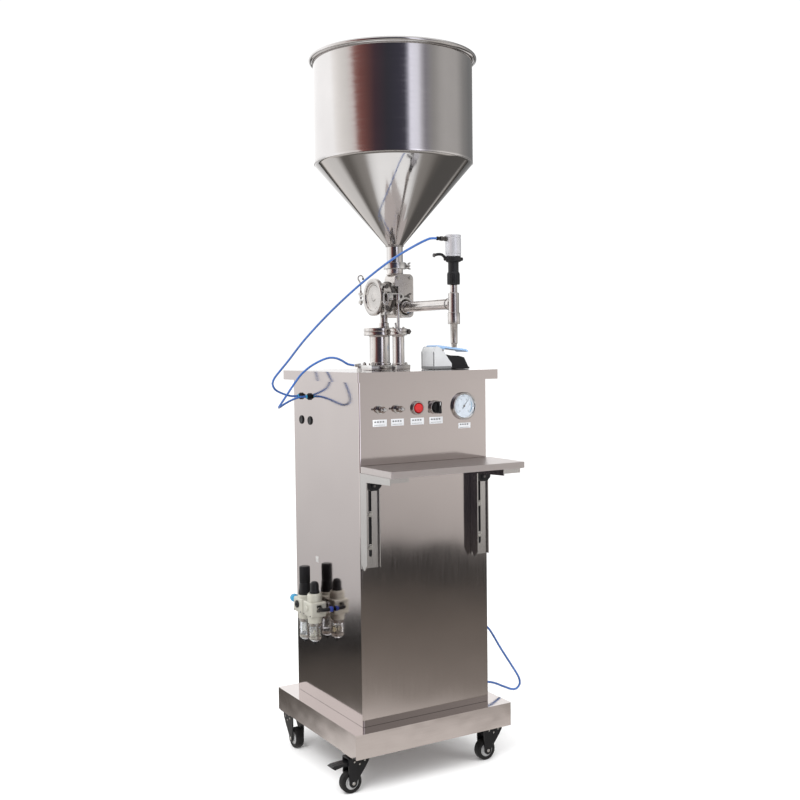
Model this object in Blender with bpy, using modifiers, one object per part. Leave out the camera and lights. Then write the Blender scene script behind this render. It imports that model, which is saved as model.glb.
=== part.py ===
"""Piston liquid filler: a hopper over a rotary valve, on a wheeled cabinet.

Metres, +Z up, front towards -Y.  The cabinet's middle stands over CABINET_OFFSET, so that
the whole machine's bounding box is centred on the origin, with the wheels at Z = 0.
Every place below is given from the middle of the cabinet's footprint.
"""
import math

import bmesh
import bpy
from mathutils import Vector

# ---------------------------------------------------------------- driving dimensions
CABINET_OFFSET = (0.0167, 0.0493, 0.0)
GAP = 0.0004                       # working gap between pieces that touch
SHEET = 0.0020                     # stainless sheet

CABINET_W, CABINET_D = 0.3300, 0.3220
PLINTH_W, PLINTH_D = 0.4050, 0.3956
PLINTH_Z = (0.0862, 0.1389)
TOP_PLATE_W, TOP_PLATE_D = 0.3612, 0.3722
TOP_PLATE_Z = (0.8837, 0.9053)
CABINET_Z = (PLINTH_Z[1] + GAP, TOP_PLATE_Z[1] - SHEET - GAP)
FACE = -CABINET_D / 2              # the front panel's outer face
SIDE = CABINET_W / 2               # the side panels' outer faces
BACK = CABINET_D / 2

AXIS_X = 0.0167                    # hopper, outlet pipe and nozzle share this plane
HOPPER_Y = -0.0100
HOPPER_R, HOPPER_WALL = 0.1825, 0.0016
RIM_R = 0.0058
HOPPER_Z = dict(rim=1.6117, joint=1.3770, neck=1.1900, ferrule=1.1452)
NECK_R = 0.0190

PANEL_Z = 0.8240                   # height of the row of controls
CONTROL_X = dict(speed_left=-0.1140, speed_right=-0.0700, button=-0.0200, selector=0.0265,
                 gauge=0.1020)

BLOCK = ((0.0010, -0.0360, 1.0257), (0.0510, 0.0120, 1.1257))
BOSS_Y, BOSS_Z, BOSS_R = -0.0240, 1.0720, 0.0330
BOSS_X = (-0.0455, -0.0090)
CHAMBER_R = 0.0250
CRANK_X = -0.0300
OUTLET_Z, PIPE_R = 1.0485, 0.0114
NOZZLE_Y = -0.2548

METER = (-0.0261, -0.0100)         # metering cylinder's axis
METER_R, METER_BORE, METER_STROKE = 0.0235, 0.0195, 0.0550
ACTUATOR = (-0.0125, -0.0720)      # valve actuator's axis
CRANK_SWING = math.radians(45)
ROD_TRAVEL = 0.0175

SHELF_X, SHELF_Y = (-0.1655, 0.1710), (-0.2965, FACE - 0.0030)
SHELF_Z, SHELF_LIP = 0.7052, 0.0135
BRACKET_X = (-0.1650, 0.1195)      # outer face of each bracket's side plate
SLOT_Z = (0.5128, 0.6520)

CASTER_X, CASTER_TOP = 0.1765, 0.0827
CASTER_Y = dict(front=-0.1500, rear=0.1700)
WHEEL_R, WHEEL_W, TRAIL = 0.0240, 0.0200, 0.0160

UNIT_X, UNIT_Y = -0.1935, (0.0585, 0.0085)
BOWL_LOW = dict(filter=0.2815, lubricator=0.2870)
HOSE_R = 0.0025

FORWARD = (math.pi / 2, 0, 0)      # local +Z turned to -Y
BACKWARD = (-math.pi / 2, 0, 0)
LEFTWARD = (0, -math.pi / 2, 0)
RIGHTWARD = (0, math.pi / 2, 0)
UPWARD = (0, 0, 0)

STAINLESS = ((0.62, 0.60, 0.58), 0.28, 1.0)
MIRROR = ((0.66, 0.63, 0.61), 0.14, 1.0)
BRIGHT = ((0.72, 0.71, 0.70), 0.20, 1.0)
ALUMINIUM = ((0.78, 0.78, 0.80), 0.32, 1.0)
CHROME = ((0.80, 0.80, 0.80), 0.10, 1.0)
BLACK = ((0.018, 0.018, 0.020), 0.45, 0.0)
BLACK_STEEL = ((0.020, 0.020, 0.022), 0.38, 0.3)
RUBBER = ((0.030, 0.029, 0.030), 0.70, 0.0)
DARK_METAL = ((0.14, 0.13, 0.13), 0.35, 1.0)
RED = ((0.60, 0.02, 0.02), 0.30, 0.0)
BLUE = ((0.03, 0.20, 0.38), 0.35, 0.0)
PEDAL_BLUE = ((0.25, 0.42, 0.72), 0.40, 0.0)
HOSE_BLUE = ((0.03, 0.09, 0.42), 0.25, 0.0)
GREY = ((0.62, 0.63, 0.65), 0.42, 0.0)
CLEAR = ((0.75, 0.77, 0.80), 0.12, 0.0)
CAST = ((0.60, 0.58, 0.52), 0.45, 1.0)


# ---------------------------------------------------------------- scene and helpers
def clear_scene():
    for obj in list(bpy.data.objects):
        bpy.data.objects.remove(obj, do_unlink=True)


def new_collection(name):
    collection = bpy.data.collections.new(name)
    bpy.context.scene.collection.children.link(collection)
    return collection


clear_scene()
PARTS = new_collection("piston_liquid_filler")
CUTTERS = new_collection("cutters")
ORIGIN = bpy.data.objects.new("machine_origin", None)
ORIGIN.location = CABINET_OFFSET
PARTS.objects.link(ORIGIN)


def paint(obj, finish):
    """Give the part a material of its own."""
    colour, roughness, metallic = finish
    material = bpy.data.materials.new(obj.name + "_finish")
    material.use_nodes = True
    shader = material.node_tree.nodes["Principled BSDF"]
    shader.inputs["Base Color"].default_value = (*colour, 1.0)
    shader.inputs["Roughness"].default_value = roughness
    shader.inputs["Metallic"].default_value = metallic
    obj.data.materials.append(material)


def place(name, data, at, turn, finish):
    """Link new mesh or curve data; without a finish it is a cutter or a piece to join."""
    obj = bpy.data.objects.new(name, data)
    obj.location = at
    obj.rotation_euler = turn
    obj.parent = ORIGIN
    if finish is None:
        CUTTERS.objects.link(obj)
        obj.display_type = "WIRE"
        obj.hide_render = True
    else:
        PARTS.objects.link(obj)
        paint(obj, finish)
    return obj


def from_bmesh(name, bm, at=(0, 0, 0), turn=UPWARD, finish=None):
    mesh = bpy.data.meshes.new(name)
    bmesh.ops.recalc_face_normals(bm, faces=bm.faces)
    bm.to_mesh(mesh)
    bm.free()
    mesh.shade_smooth()
    mesh.set_sharp_from_angle(angle=math.radians(35))
    return place(name, mesh, at, turn, finish)


def box(name, low, high, finish=None, bevel=0.0, about=None, segments=2):
    """A box between two corners; its origin is its middle, or the point given."""
    low, high = Vector(low), Vector(high)
    about = (low + high) / 2 if about is None else Vector(about)
    bm = bmesh.new()
    bmesh.ops.create_cube(bm, size=1.0)
    bmesh.ops.scale(bm, vec=high - low, verts=bm.verts)
    bmesh.ops.translate(bm, vec=(low + high) / 2 - about, verts=bm.verts)
    obj = from_bmesh(name, bm, about, UPWARD, finish)
    if bevel:
        round_edges(obj, bevel, segments)
    return obj


def rod(name, radius, length, at, turn=UPWARD, finish=None, sides=16, top_radius=None):
    """A cylinder or cone from its base point along its local +Z."""
    bm = bmesh.new()
    bmesh.ops.create_cone(bm, cap_ends=True, segments=sides, radius1=radius, depth=length,
                          radius2=radius if top_radius is None else top_radius)
    bmesh.ops.translate(bm, vec=(0, 0, length / 2), verts=bm.verts)
    return from_bmesh(name, bm, at, turn, finish)


def turned(name, profile, at, turn=UPWARD, finish=None, steps=24):
    """Spin a profile of (radius, height) points about local Z.

    The points run down the outer side.  A profile whose ends lie on the axis makes a solid;
    any other is closed into a ring.
    """
    bm = bmesh.new()
    points = [bm.verts.new((radius, 0.0, height)) for radius, height in profile]
    for first, second in zip(points[:-1], points[1:]):
        bm.edges.new((first, second))
    if profile[0][0] > 0:
        bm.edges.new((points[-1], points[0]))
    mesh = bpy.data.meshes.new(name)
    bm.to_mesh(mesh)
    bm.free()
    obj = place(name, mesh, at, turn, finish)
    spin = obj.modifiers.new("spin", "SCREW")
    spin.axis = "Z"
    spin.angle = math.tau
    spin.steps = steps
    spin.render_steps = steps
    spin.use_merge_vertices = True
    spin.merge_threshold = 0.00001
    spin.use_smooth_shade = True
    return obj


def outline(name, points, thickness, at, turn=UPWARD, finish=None, bevel=0.0):
    """A flat outline in local XY, centred on its thickness along local Z, as a mesh."""
    bm = bmesh.new()
    corners = [bm.verts.new((x, y, -thickness / 2)) for x, y in points]
    face = bm.faces.new(corners)
    grown = bmesh.ops.extrude_face_region(bm, geom=[face])
    risen = [item for item in grown["geom"] if isinstance(item, bmesh.types.BMVert)]
    bmesh.ops.translate(bm, vec=(0, 0, thickness), verts=risen)
    obj = from_bmesh(name, bm, at, turn, finish)
    if bevel:
        round_edges(obj, bevel)
    return obj


def arc(centre, radius, start, stop, count):
    """Points on an arc, angles in degrees."""
    points = []
    for index in range(count + 1):
        angle = math.radians(start + (stop - start) * index / count)
        points.append((centre[0] + radius * math.cos(angle), centre[1] + radius * math.sin(angle)))
    return points


def round_edges(obj, width, segments=2):
    bevel = obj.modifiers.new("round", "BEVEL")
    bevel.width = width
    bevel.segments = segments
    bevel.limit_method = "ANGLE"
    bevel.angle_limit = math.radians(40)


def combine(obj, operation, tools):
    for tool in tools:
        modifier = obj.modifiers.new(tool.name, "BOOLEAN")
        modifier.operation = operation
        modifier.solver = "EXACT"
        modifier.object = tool


def cut(obj, *tools):
    combine(obj, "DIFFERENCE", tools)


def join(obj, *tools):
    combine(obj, "UNION", tools)


# ---------------------------------------------------------------- cabinet
def open_box(name, low, high, open_sides, finish, sheet=SHEET, rounded=0.0):
    """A folded sheet box with some sides missing; sides are named by axis and sign."""
    middle = (Vector(low) + Vector(high)) / 2
    bm = bmesh.new()
    bmesh.ops.create_cube(bm, size=1.0)
    bmesh.ops.scale(bm, vec=Vector(high) - Vector(low), verts=bm.verts)
    missing = []
    for axis, sign in open_sides:
        missing += [face for face in bm.faces if face.normal[axis] * sign > 0.9]
    bmesh.ops.delete(bm, geom=missing, context="FACES_ONLY")
    if rounded:
        folds = [edge for edge in bm.edges if len(edge.link_faces) == 2
                 and abs(edge.verts[0].co.z - edge.verts[1].co.z) > 0.001]
        bmesh.ops.bevel(bm, geom=folds, offset=rounded, segments=3, profile=0.5,
                        affect="EDGES")
    obj = from_bmesh(name, bm, middle, UPWARD, finish)
    skin = obj.modifiers.new("sheet", "SOLIDIFY")
    skin.thickness = sheet
    skin.offset = -1
    skin.use_even_offset = True
    return obj


def build_plinth():
    low = (-PLINTH_W / 2, -PLINTH_D / 2, PLINTH_Z[0])
    high = (PLINTH_W / 2, PLINTH_D / 2, PLINTH_Z[1])
    plinth = open_box("plinth", low, high, [(2, -1)], MIRROR, rounded=0.002)
    rail_half, plate_half = 0.0250, 0.0235
    rail_end = PLINTH_W / 2 - SHEET / 2
    for row, y in CASTER_Y.items():
        join(plinth, box("rail_" + row, (-rail_end, y - rail_half, PLINTH_Z[0] + 0.0005),
                         (rail_end, y + rail_half, PLINTH_Z[0] + 0.0035)))
        for x in (-CASTER_X, CASTER_X):
            join(plinth, box(f"caster_plate_{row}", (x - plate_half, y - plate_half, CASTER_TOP),
                             (x + plate_half, y + plate_half, PLINTH_Z[0] + 0.0015)))


def build_cabinet():
    low = (-CABINET_W / 2, -CABINET_D / 2, CABINET_Z[0])
    high = (CABINET_W / 2, CABINET_D / 2, CABINET_Z[1])
    shell = open_box("cabinet_shell", low, high, [(1, 1), (2, 1)], STAINLESS, rounded=0.003)
    radii = dict(speed_left=0.0056, speed_right=0.0056, button=0.0116, selector=0.0116,
                 gauge=0.0268)
    for key, radius in radii.items():
        hole = rod("hole_" + key, radius, 0.02, (CONTROL_X[key], FACE + 0.01, PANEL_Z), FORWARD)
        cut(shell, hole)
    for name, y in LEFT_PORTS.items():
        cut(shell, rod("port_" + name, PORT_HOLE_R, 0.02, (-SIDE + 0.01, y, PORT_Z), LEFTWARD))
    for name, z in RIGHT_PORTS.items():
        hole = rod("port_" + name, PORT_HOLE_R, 0.02, (SIDE - 0.01, RIGHT_PORT_Y, z), RIGHTWARD)
        cut(shell, hole)
    edge = 0.002
    box("back_panel", (-SIDE + edge, BACK + GAP, CABINET_Z[0] + edge),
        (SIDE - edge, BACK + GAP + 0.0016, CABINET_Z[1] - edge), STAINLESS)


def build_top_plate():
    low = (-TOP_PLATE_W / 2, -TOP_PLATE_D / 2, TOP_PLATE_Z[0])
    high = (TOP_PLATE_W / 2, TOP_PLATE_D / 2, TOP_PLATE_Z[1])
    plate = open_box("top_plate", low, high, [(2, -1)], STAINLESS, rounded=0.002)
    cut(plate, rod("piston_rod_hole", 0.0080, 0.02, (*METER, TOP_PLATE_Z[1] - 0.01)))


LEFT_PORTS = dict(rear=0.1200, front=0.0755)
PORT_Z, PORT_HOLE_R = 0.8460, 0.0056
RIGHT_PORTS = dict(upper=0.3020, lower=0.1680)
RIGHT_PORT_Y = -0.1200
PORT_LENGTH = 0.0100


def build_bulkheads():
    """Push-in fittings: a hexagon and a collar outside, a threaded barrel through the wall."""
    profile = [(0.0, PORT_LENGTH), (0.0044, PORT_LENGTH), (0.0046, 0.0050), (0.0072, 0.0045),
               (0.0072, GAP), (0.0050, GAP), (0.0050, -0.0120), (0.0, -0.0120)]
    for name, y in LEFT_PORTS.items():
        turned(f"bulkhead_left_{name}", profile, (-SIDE, y, PORT_Z), LEFTWARD, BLACK, 12)
    for name, z in RIGHT_PORTS.items():
        turned(f"bulkhead_right_{name}", profile, (SIDE, RIGHT_PORT_Y, z), RIGHTWARD, BLACK, 12)
    post_x, post_y = PLATE_FITTING
    post = turned("plate_fitting", [(0.0, 0.0170), (0.0045, 0.0165), (0.0045, 0.0060),
                                    (0.0062, 0.0055), (0.0062, GAP), (0.0, GAP)],
                  (post_x, post_y, TOP_PLATE_Z[1]), UPWARD, BRIGHT, 12)
    join(post, rod("plate_fitting_arm", 0.0040, 0.0110,
                   (post_x, post_y, PLATE_FITTING_Z), LEFTWARD, sides=12))


PLATE_FITTING = (-0.1000, -0.0460)
PLATE_FITTING_Z = TOP_PLATE_Z[1] + 0.0125


# ---------------------------------------------------------------- hopper
def build_hopper():
    z = HOPPER_Z
    wall = HOPPER_WALL
    bead = [(HOPPER_R + RIM_R * (1 + math.cos(a)) - wall, z["rim"] + RIM_R * math.sin(a))
            for a in [math.radians(150 - 50 * step) for step in range(7)]]
    flange_r = 0.0228
    outer = [(HOPPER_R, z["joint"] + 0.004), (HOPPER_R - 0.0012, z["joint"] - 0.002),
             (NECK_R + 0.0020, z["neck"] + 0.0020), (NECK_R, z["neck"] - 0.002),
             (NECK_R, z["ferrule"] + 0.0048), (flange_r, z["ferrule"] + 0.0022),
             (flange_r, z["ferrule"])]
    inner = [(NECK_R - wall, z["ferrule"]), (NECK_R - wall, z["neck"] - 0.0015),
             (NECK_R + 0.0020 - wall, z["neck"] + 0.0030),
             (HOPPER_R - 0.0012 - wall, z["joint"] - 0.001), (HOPPER_R - wall, z["joint"] + 0.0045)]
    turned("hopper", bead + outer + inner, (AXIS_X, HOPPER_Y, 0), UPWARD, MIRROR, 36)


def clamp_profile(inner, outer, half):
    """A clamp ring's section: lips over both flanges and a groove that holds them."""
    return [(outer, half), (outer, -half), (inner, -half), (inner, -half + 0.0018),
            (inner + 0.0036, -0.0030), (inner + 0.0036, 0.0030), (inner, half - 0.0018),
            (inner, half)]


def build_hopper_clamp():
    z = HOPPER_Z["ferrule"] - 0.0002
    clamp = turned("hopper_clamp", clamp_profile(NECK_R + 0.0007, 0.0262, 0.0072),
                   (AXIS_X, HOPPER_Y, z), UPWARD, BRIGHT, 20)
    lug = box("hopper_clamp_lug", (AXIS_X + 0.0245, HOPPER_Y - 0.0060, z - 0.0065),
              (AXIS_X + 0.0330, HOPPER_Y + 0.0060, z + 0.0065))
    screw = rod("hopper_clamp_screw", 0.0028, 0.0300, (AXIS_X + 0.0300, HOPPER_Y + 0.0120, z),
                FORWARD, sides=12)
    wing = box("hopper_clamp_wing", (AXIS_X + 0.0280, HOPPER_Y - 0.0200, z - 0.0085),
               (AXIS_X + 0.0400, HOPPER_Y - 0.0140, z + 0.0085))
    join(clamp, lug, screw, wing)


# ---------------------------------------------------------------- rotary valve
def rounded_block(name, low, high, radius, finish):
    """A block whose four edges along Y are rounded."""
    low, high = Vector(low), Vector(high)
    middle = (low + high) / 2
    bm = bmesh.new()
    bmesh.ops.create_cube(bm, size=1.0)
    bmesh.ops.scale(bm, vec=high - low, verts=bm.verts)
    along = [edge for edge in bm.edges if abs(edge.verts[0].co.y - edge.verts[1].co.y) > 0.001]
    bmesh.ops.bevel(bm, geom=along, offset=radius, segments=4, profile=0.5, affect="EDGES")
    return from_bmesh(name, bm, middle, UPWARD, finish)


STEM_XY, STEM_R = (-0.0180, -0.0160), 0.0088
METER_Z = dict(foot=TOP_PLATE_Z[1] + GAP, foot_top=0.9170, flange=0.9846, top=1.0022)
CRANK_FRONT = -0.0605


def build_valve_body():
    block_top = BLOCK[1][2]
    body = rounded_block("valve_body", *BLOCK, 0.0110, STAINLESS)
    boss_length = BOSS_X[1] - BOSS_X[0]
    ferrule_z = HOPPER_Z["ferrule"] - 0.0004
    neck_profile = [(0.0, ferrule_z), (0.0228, ferrule_z), (0.0228, ferrule_z - 0.0022),
                    (NECK_R, ferrule_z - 0.0048), (NECK_R, block_top - 0.01),
                    (0.0, block_top - 0.01)]
    stem_low = METER_Z["top"] + GAP
    join(body,
         rod("valve_boss", BOSS_R, boss_length, (BOSS_X[0], BOSS_Y, BOSS_Z), RIGHTWARD, sides=28),
         box("valve_bridge", (BOSS_X[1] - 0.003, BLOCK[0][1], BOSS_Z - 0.024),
             (BLOCK[0][0] + 0.012, 0.0080, BOSS_Z + 0.028)),
         turned("valve_neck", neck_profile, (AXIS_X, HOPPER_Y, 0)),
         rod("valve_stem", STEM_R, BOSS_Z - 0.028 - stem_low, (*STEM_XY, stem_low)),
         rod("crank_bearing", 0.0110, 0.0300, (CRANK_X, CRANK_FRONT + 0.0300, BOSS_Z), FORWARD),
         rod("outlet_stub", 0.0150, 0.0150, (AXIS_X, BLOCK[0][1] + 0.008, OUTLET_Z), FORWARD))
    cut(body,
        rod("chamber", CHAMBER_R, boss_length - 0.003, (BOSS_X[0] - 0.001, BOSS_Y, BOSS_Z),
            RIGHTWARD, sides=28),
        rod("passage", 0.0120, 0.036, (BOSS_X[1] - 0.008, -0.0180, BOSS_Z + 0.002), RIGHTWARD),
        rod("inlet_bore", 0.0165, 0.070, (AXIS_X, HOPPER_Y, ferrule_z + 0.002 - 0.070)),
        rod("port_bore", 0.0050, 0.050, (*STEM_XY, stem_low - 0.002)),
        rod("shaft_bore", 0.0058, 0.030, (CRANK_X, CRANK_FRONT + 0.0285, BOSS_Z), FORWARD),
        rod("outlet_bore", 0.0085, 0.040, (AXIS_X, BLOCK[0][1] + 0.025, OUTLET_Z), FORWARD))


def build_valve_end_clamp():
    """Blind cap and clamp ring on the chamber's open end, with its tangent clamp bolt."""
    x = BOSS_X[0] - GAP
    profile = [(0.0, 0.0035), (0.0310, 0.0035), (0.0325, 0.0070), (0.0415, 0.0070),
               (0.0425, 0.0055), (0.0425, -0.0026), (BOSS_R + 0.0006, -0.0026),
               (BOSS_R + 0.0006, 0.0), (0.0, 0.0)]
    cap = turned("valve_end_clamp", profile, (x, BOSS_Y, BOSS_Z), LEFTWARD, BRIGHT, 24)
    bolt_x, bolt_y = x - 0.0035, BOSS_Y + 0.0590
    lug = box("end_clamp_lug", (x - 0.0065, BOSS_Y + 0.036, BOSS_Z - 0.007),
              (x - 0.0005, bolt_y + 0.004, BOSS_Z + 0.007))
    bolt = rod("end_clamp_bolt", 0.0026, 0.034, (bolt_x, bolt_y, BOSS_Z - 0.016), sides=12)
    join(cap, lug, bolt)
    for index, z in enumerate((BOSS_Z - 0.0190, BOSS_Z + 0.0130)):
        join(cap, rod(f"end_clamp_nut_{index}", 0.0065, 0.0060, (bolt_x, bolt_y, z), sides=8))


def build_valve_rotor():
    """Plug, shaft and slotted lever on one axis that points to the front."""
    pivot = (CRANK_X, CRANK_FRONT, BOSS_Z)
    plug_r, shaft_r, hub_r = 0.0120, 0.0050, 0.0075
    profile = [(0.0, 0.0095), (hub_r, 0.0090), (hub_r, 0.0005), (shaft_r, 0.0005),
               (shaft_r, -0.0220), (plug_r, -0.0220), (plug_r, -0.0500), (0.0, -0.0500)]
    rotor = turned("valve_rotor", profile, pivot, FORWARD, BRIGHT, 16)
    inner, outer = 0.0095, 0.0305
    half = 0.0080
    lever = arc((0, 0), half, 90, 270, 5) + arc((outer, 0), half, -90, 90, 5)
    arm = outline("crank_arm", lever, 0.0045, (CRANK_X, CRANK_FRONT - 0.0030, BOSS_Z), FORWARD)
    slot_half = 0.0046
    slot = arc((inner + 0.004, 0), slot_half, 90, 270, 5)
    slot += arc((outer - 0.002, 0), slot_half, -90, 90, 5)
    groove = outline("crank_slot", slot, 0.02, (CRANK_X, CRANK_FRONT - 0.0030, BOSS_Z), FORWARD)
    join(rotor, arm)
    cut(rotor, groove)


def build_metering_cylinder():
    x, y = METER
    z = METER_Z
    flange_r = 0.0365
    profile = [(0.0, z["top"]), (flange_r, z["top"]), (flange_r, z["flange"]),
               (METER_R, z["flange"] - 0.001), (METER_R, z["foot"]), (0.0, z["foot"])]
    body = turned("metering_cylinder", profile, (x, y, 0), UPWARD, STAINLESS, 24)
    join(body, box("metering_foot", (x - 0.036, y - 0.0260, z["foot"]),
                   (x + 0.0255, y + 0.0260, z["foot_top"])))
    cut(body, rod("metering_bore", METER_BORE, 0.0900, (x, y, z["top"] - 0.1000), sides=24),
        rod("metering_port", 0.0050, 0.020, (*STEM_XY, z["top"] - 0.012)))


DRIVE_Z = dict(bottom=0.6900, bore=0.6980, head=0.8450, top=TOP_PLATE_Z[1] - SHEET - GAP)
DRIVE_R, DRIVE_BORE = 0.0260, 0.0200


def build_metering_drive():
    """Air cylinder under the top plate, and the rod that joins its piston to the other."""
    x, y = METER
    z = DRIVE_Z
    rod_r, rod_bore = 0.0060, 0.0068
    barrel = [(DRIVE_R, z["top"]), (DRIVE_R, z["bottom"]), (0.0, z["bottom"])]
    body = turned("drive_cylinder", [(0.0, z["top"])] + barrel, (x, y, 0), UPWARD, ALUMINIUM)
    cut(body, rod("drive_bore", DRIVE_BORE, z["head"] - z["bore"], (x, y, z["bore"]), sides=24),
        rod("drive_rod_bore", rod_bore, z["top"] - z["head"] + 0.01, (x, y, z["head"] - 0.005)))
    foot = TOP_PLATE_Z[1] + 0.004
    seal_r = METER_BORE - 0.0007
    drive_r = DRIVE_BORE - 0.0007
    low = z["bore"] + 0.006
    profile = [(0.0, foot + 0.0190), (seal_r, foot + 0.0180), (seal_r, foot + 0.0020),
               (rod_r, foot), (rod_r, low + 0.014), (drive_r, low + 0.014), (drive_r, low),
               (0.0, low)]
    turned("metering_piston", profile, (x, y, 0), UPWARD, CHROME, 24)


def build_valve_actuator():
    x, y = ACTUATOR
    foot, top = TOP_PLATE_Z[1] + GAP, 1.0010
    tube_r, bore_r = 0.0133, 0.0090
    profile = [(0.0, top), (0.0185, top), (0.0200, top - 0.0020), (0.0200, 0.9855),
               (0.0185, 0.9835), (tube_r, 0.9835), (tube_r, foot), (0.0, foot)]
    body = turned("valve_actuator", profile, (x, y, 0), UPWARD, STAINLESS)
    join(body, box("actuator_foot", (x - 0.0120, y - 0.0120, foot),
                   (x + 0.0240, y + 0.0120, foot + 0.012)))
    cut(body, rod("actuator_bore", bore_r, 0.0780, (x, y, 0.9100)),
        rod("actuator_rod_bore", 0.0045, 0.03, (x, y, 0.9780)))
    piston_z, pin_z = 0.9400, BOSS_Z
    rod_r, piston_r = 0.0036, bore_r - 0.0007
    profile = [(0.0, pin_z + 0.0060), (0.0050, pin_z + 0.0050), (0.0050, pin_z - 0.0100),
               (rod_r, pin_z - 0.0110), (rod_r, piston_z + 0.008), (piston_r, piston_z + 0.008),
               (piston_r, piston_z), (0.0, piston_z)]
    plunger = turned("valve_actuator_rod", profile, (x, y, 0), UPWARD, CHROME, 16)
    pin = rod("actuator_pin", 0.0022, 0.0120, (x, y, pin_z), BACKWARD, sides=12)
    join(plunger, pin)


# ---------------------------------------------------------------- outlet and nozzle
def build_outlet():
    start, stop = BLOCK[0][1] - 0.0070 - GAP, NOZZLE_Y + 0.0180
    profile = [(PIPE_R, start - stop), (PIPE_R, 0.0170), (0.0225, 0.0155), (0.0225, 0.0030),
               (0.0200, 0.0), (0.0096, 0.0), (0.0096, start - stop)]
    turned("outlet_pipe", profile, (AXIS_X, start, OUTLET_Z), FORWARD, STAINLESS)


NOZZLE_Z = dict(tip=0.9557, tube=0.9630, nut_low=1.0053, nut=1.0293, tee=1.0714,
                neck=1.0884, sleeve_low=1.0888, sleeve=1.1136, collar_low=1.1362,
                collar=1.1479, cylinder=1.1482, top=1.1939)
NOZZLE_BORE = 0.0050


def build_nozzle():
    z = NOZZLE_Z
    at = (AXIS_X, NOZZLE_Y, 0)
    bore = NOZZLE_BORE
    profile = [(0.0078, z["neck"]), (0.0078, z["tee"]), (0.0114, z["tee"] - 0.001),
               (0.0114, z["nut"]), (0.0130, z["nut"] - 0.001), (0.0130, z["nut_low"]),
               (0.0076, z["nut_low"]), (0.0074, z["tube"] + 0.001), (0.0058, z["tube"]),
               (0.0055, z["tip"]), (bore - 0.0006, z["tip"]), (bore, z["tube"]),
               (bore, z["neck"])]
    body = turned("nozzle_body", profile, at, UPWARD, BRIGHT, 16)
    branch = rod("nozzle_branch", 0.0118, 0.0110, (AXIS_X, NOZZLE_Y + 0.0066, OUTLET_Z), BACKWARD)
    join(body, branch)
    cut(body, rod("branch_bore", 0.0095, 0.0300, (AXIS_X, NOZZLE_Y - 0.001, OUTLET_Z), BACKWARD))
    profile = [(0.0, z["collar"]), (0.0160, z["collar"]), (0.0165, z["collar_low"] + 0.002),
               (0.0115, z["collar_low"]), (0.0115, z["sleeve"] + 0.001), (0.0133, z["sleeve"]),
               (0.0133, z["sleeve_low"]), (0.0, z["sleeve_low"])]
    coupling = turned("nozzle_coupling", profile, at, UPWARD, BLACK, 16)
    reach = 0.0215
    ears = box("coupling_ears", (AXIS_X - reach, NOZZLE_Y - 0.0070, z["collar_low"] + 0.003),
               (AXIS_X + reach, NOZZLE_Y + 0.0070, z["collar"] - 0.001))
    join(coupling, ears)
    cut(coupling, rod("coupling_bore", bore, 0.0800, (AXIS_X, NOZZLE_Y, z["sleeve_low"] - 0.01)))


def build_nozzle_drive():
    z = NOZZLE_Z
    at = (AXIS_X, NOZZLE_Y, 0)
    radius, bore = 0.0166, 0.0125
    profile = [(0.0, z["top"]), (radius - 0.001, z["top"]), (radius, z["top"] - 0.001),
               (radius, z["cylinder"]), (0.0, z["cylinder"])]
    body = turned("nozzle_air_cylinder", profile, at, UPWARD, ALUMINIUM)
    cut(body, rod("nozzle_air_bore", bore, 0.0340, (AXIS_X, NOZZLE_Y, z["cylinder"] + 0.0060)),
        rod("nozzle_air_rod_bore", 0.0040, 0.0200, (AXIS_X, NOZZLE_Y, z["cylinder"] - 0.005)))
    piston = z["cylinder"] + 0.0080
    profile = [(0.0, piston + 0.008), (bore - 0.0008, piston + 0.008), (bore - 0.0008, piston),
               (0.0028, piston), (0.0028, z["tip"] + 0.006), (0.0034, z["tip"] + 0.005),
               (0.0034, z["tip"] + 0.0010), (0.0, z["tip"] + 0.0002)]
    turned("nozzle_rod", profile, at, UPWARD, CHROME, 16)
    fitting = [(0.0, 0.0250), (0.0036, 0.0250), (0.0040, 0.0170), (0.0052, 0.0165),
               (0.0052, 0.0100), (0.0042, 0.0095), (0.0042, 0.0006), (0.0, 0.0006)]
    turned("nozzle_hose_fitting", fitting, (AXIS_X - radius, NOZZLE_Y, NOZZLE_PORT_Z), LEFTWARD,
           DARK_METAL, 12)


NOZZLE_PORT_Z = 1.1850


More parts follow.
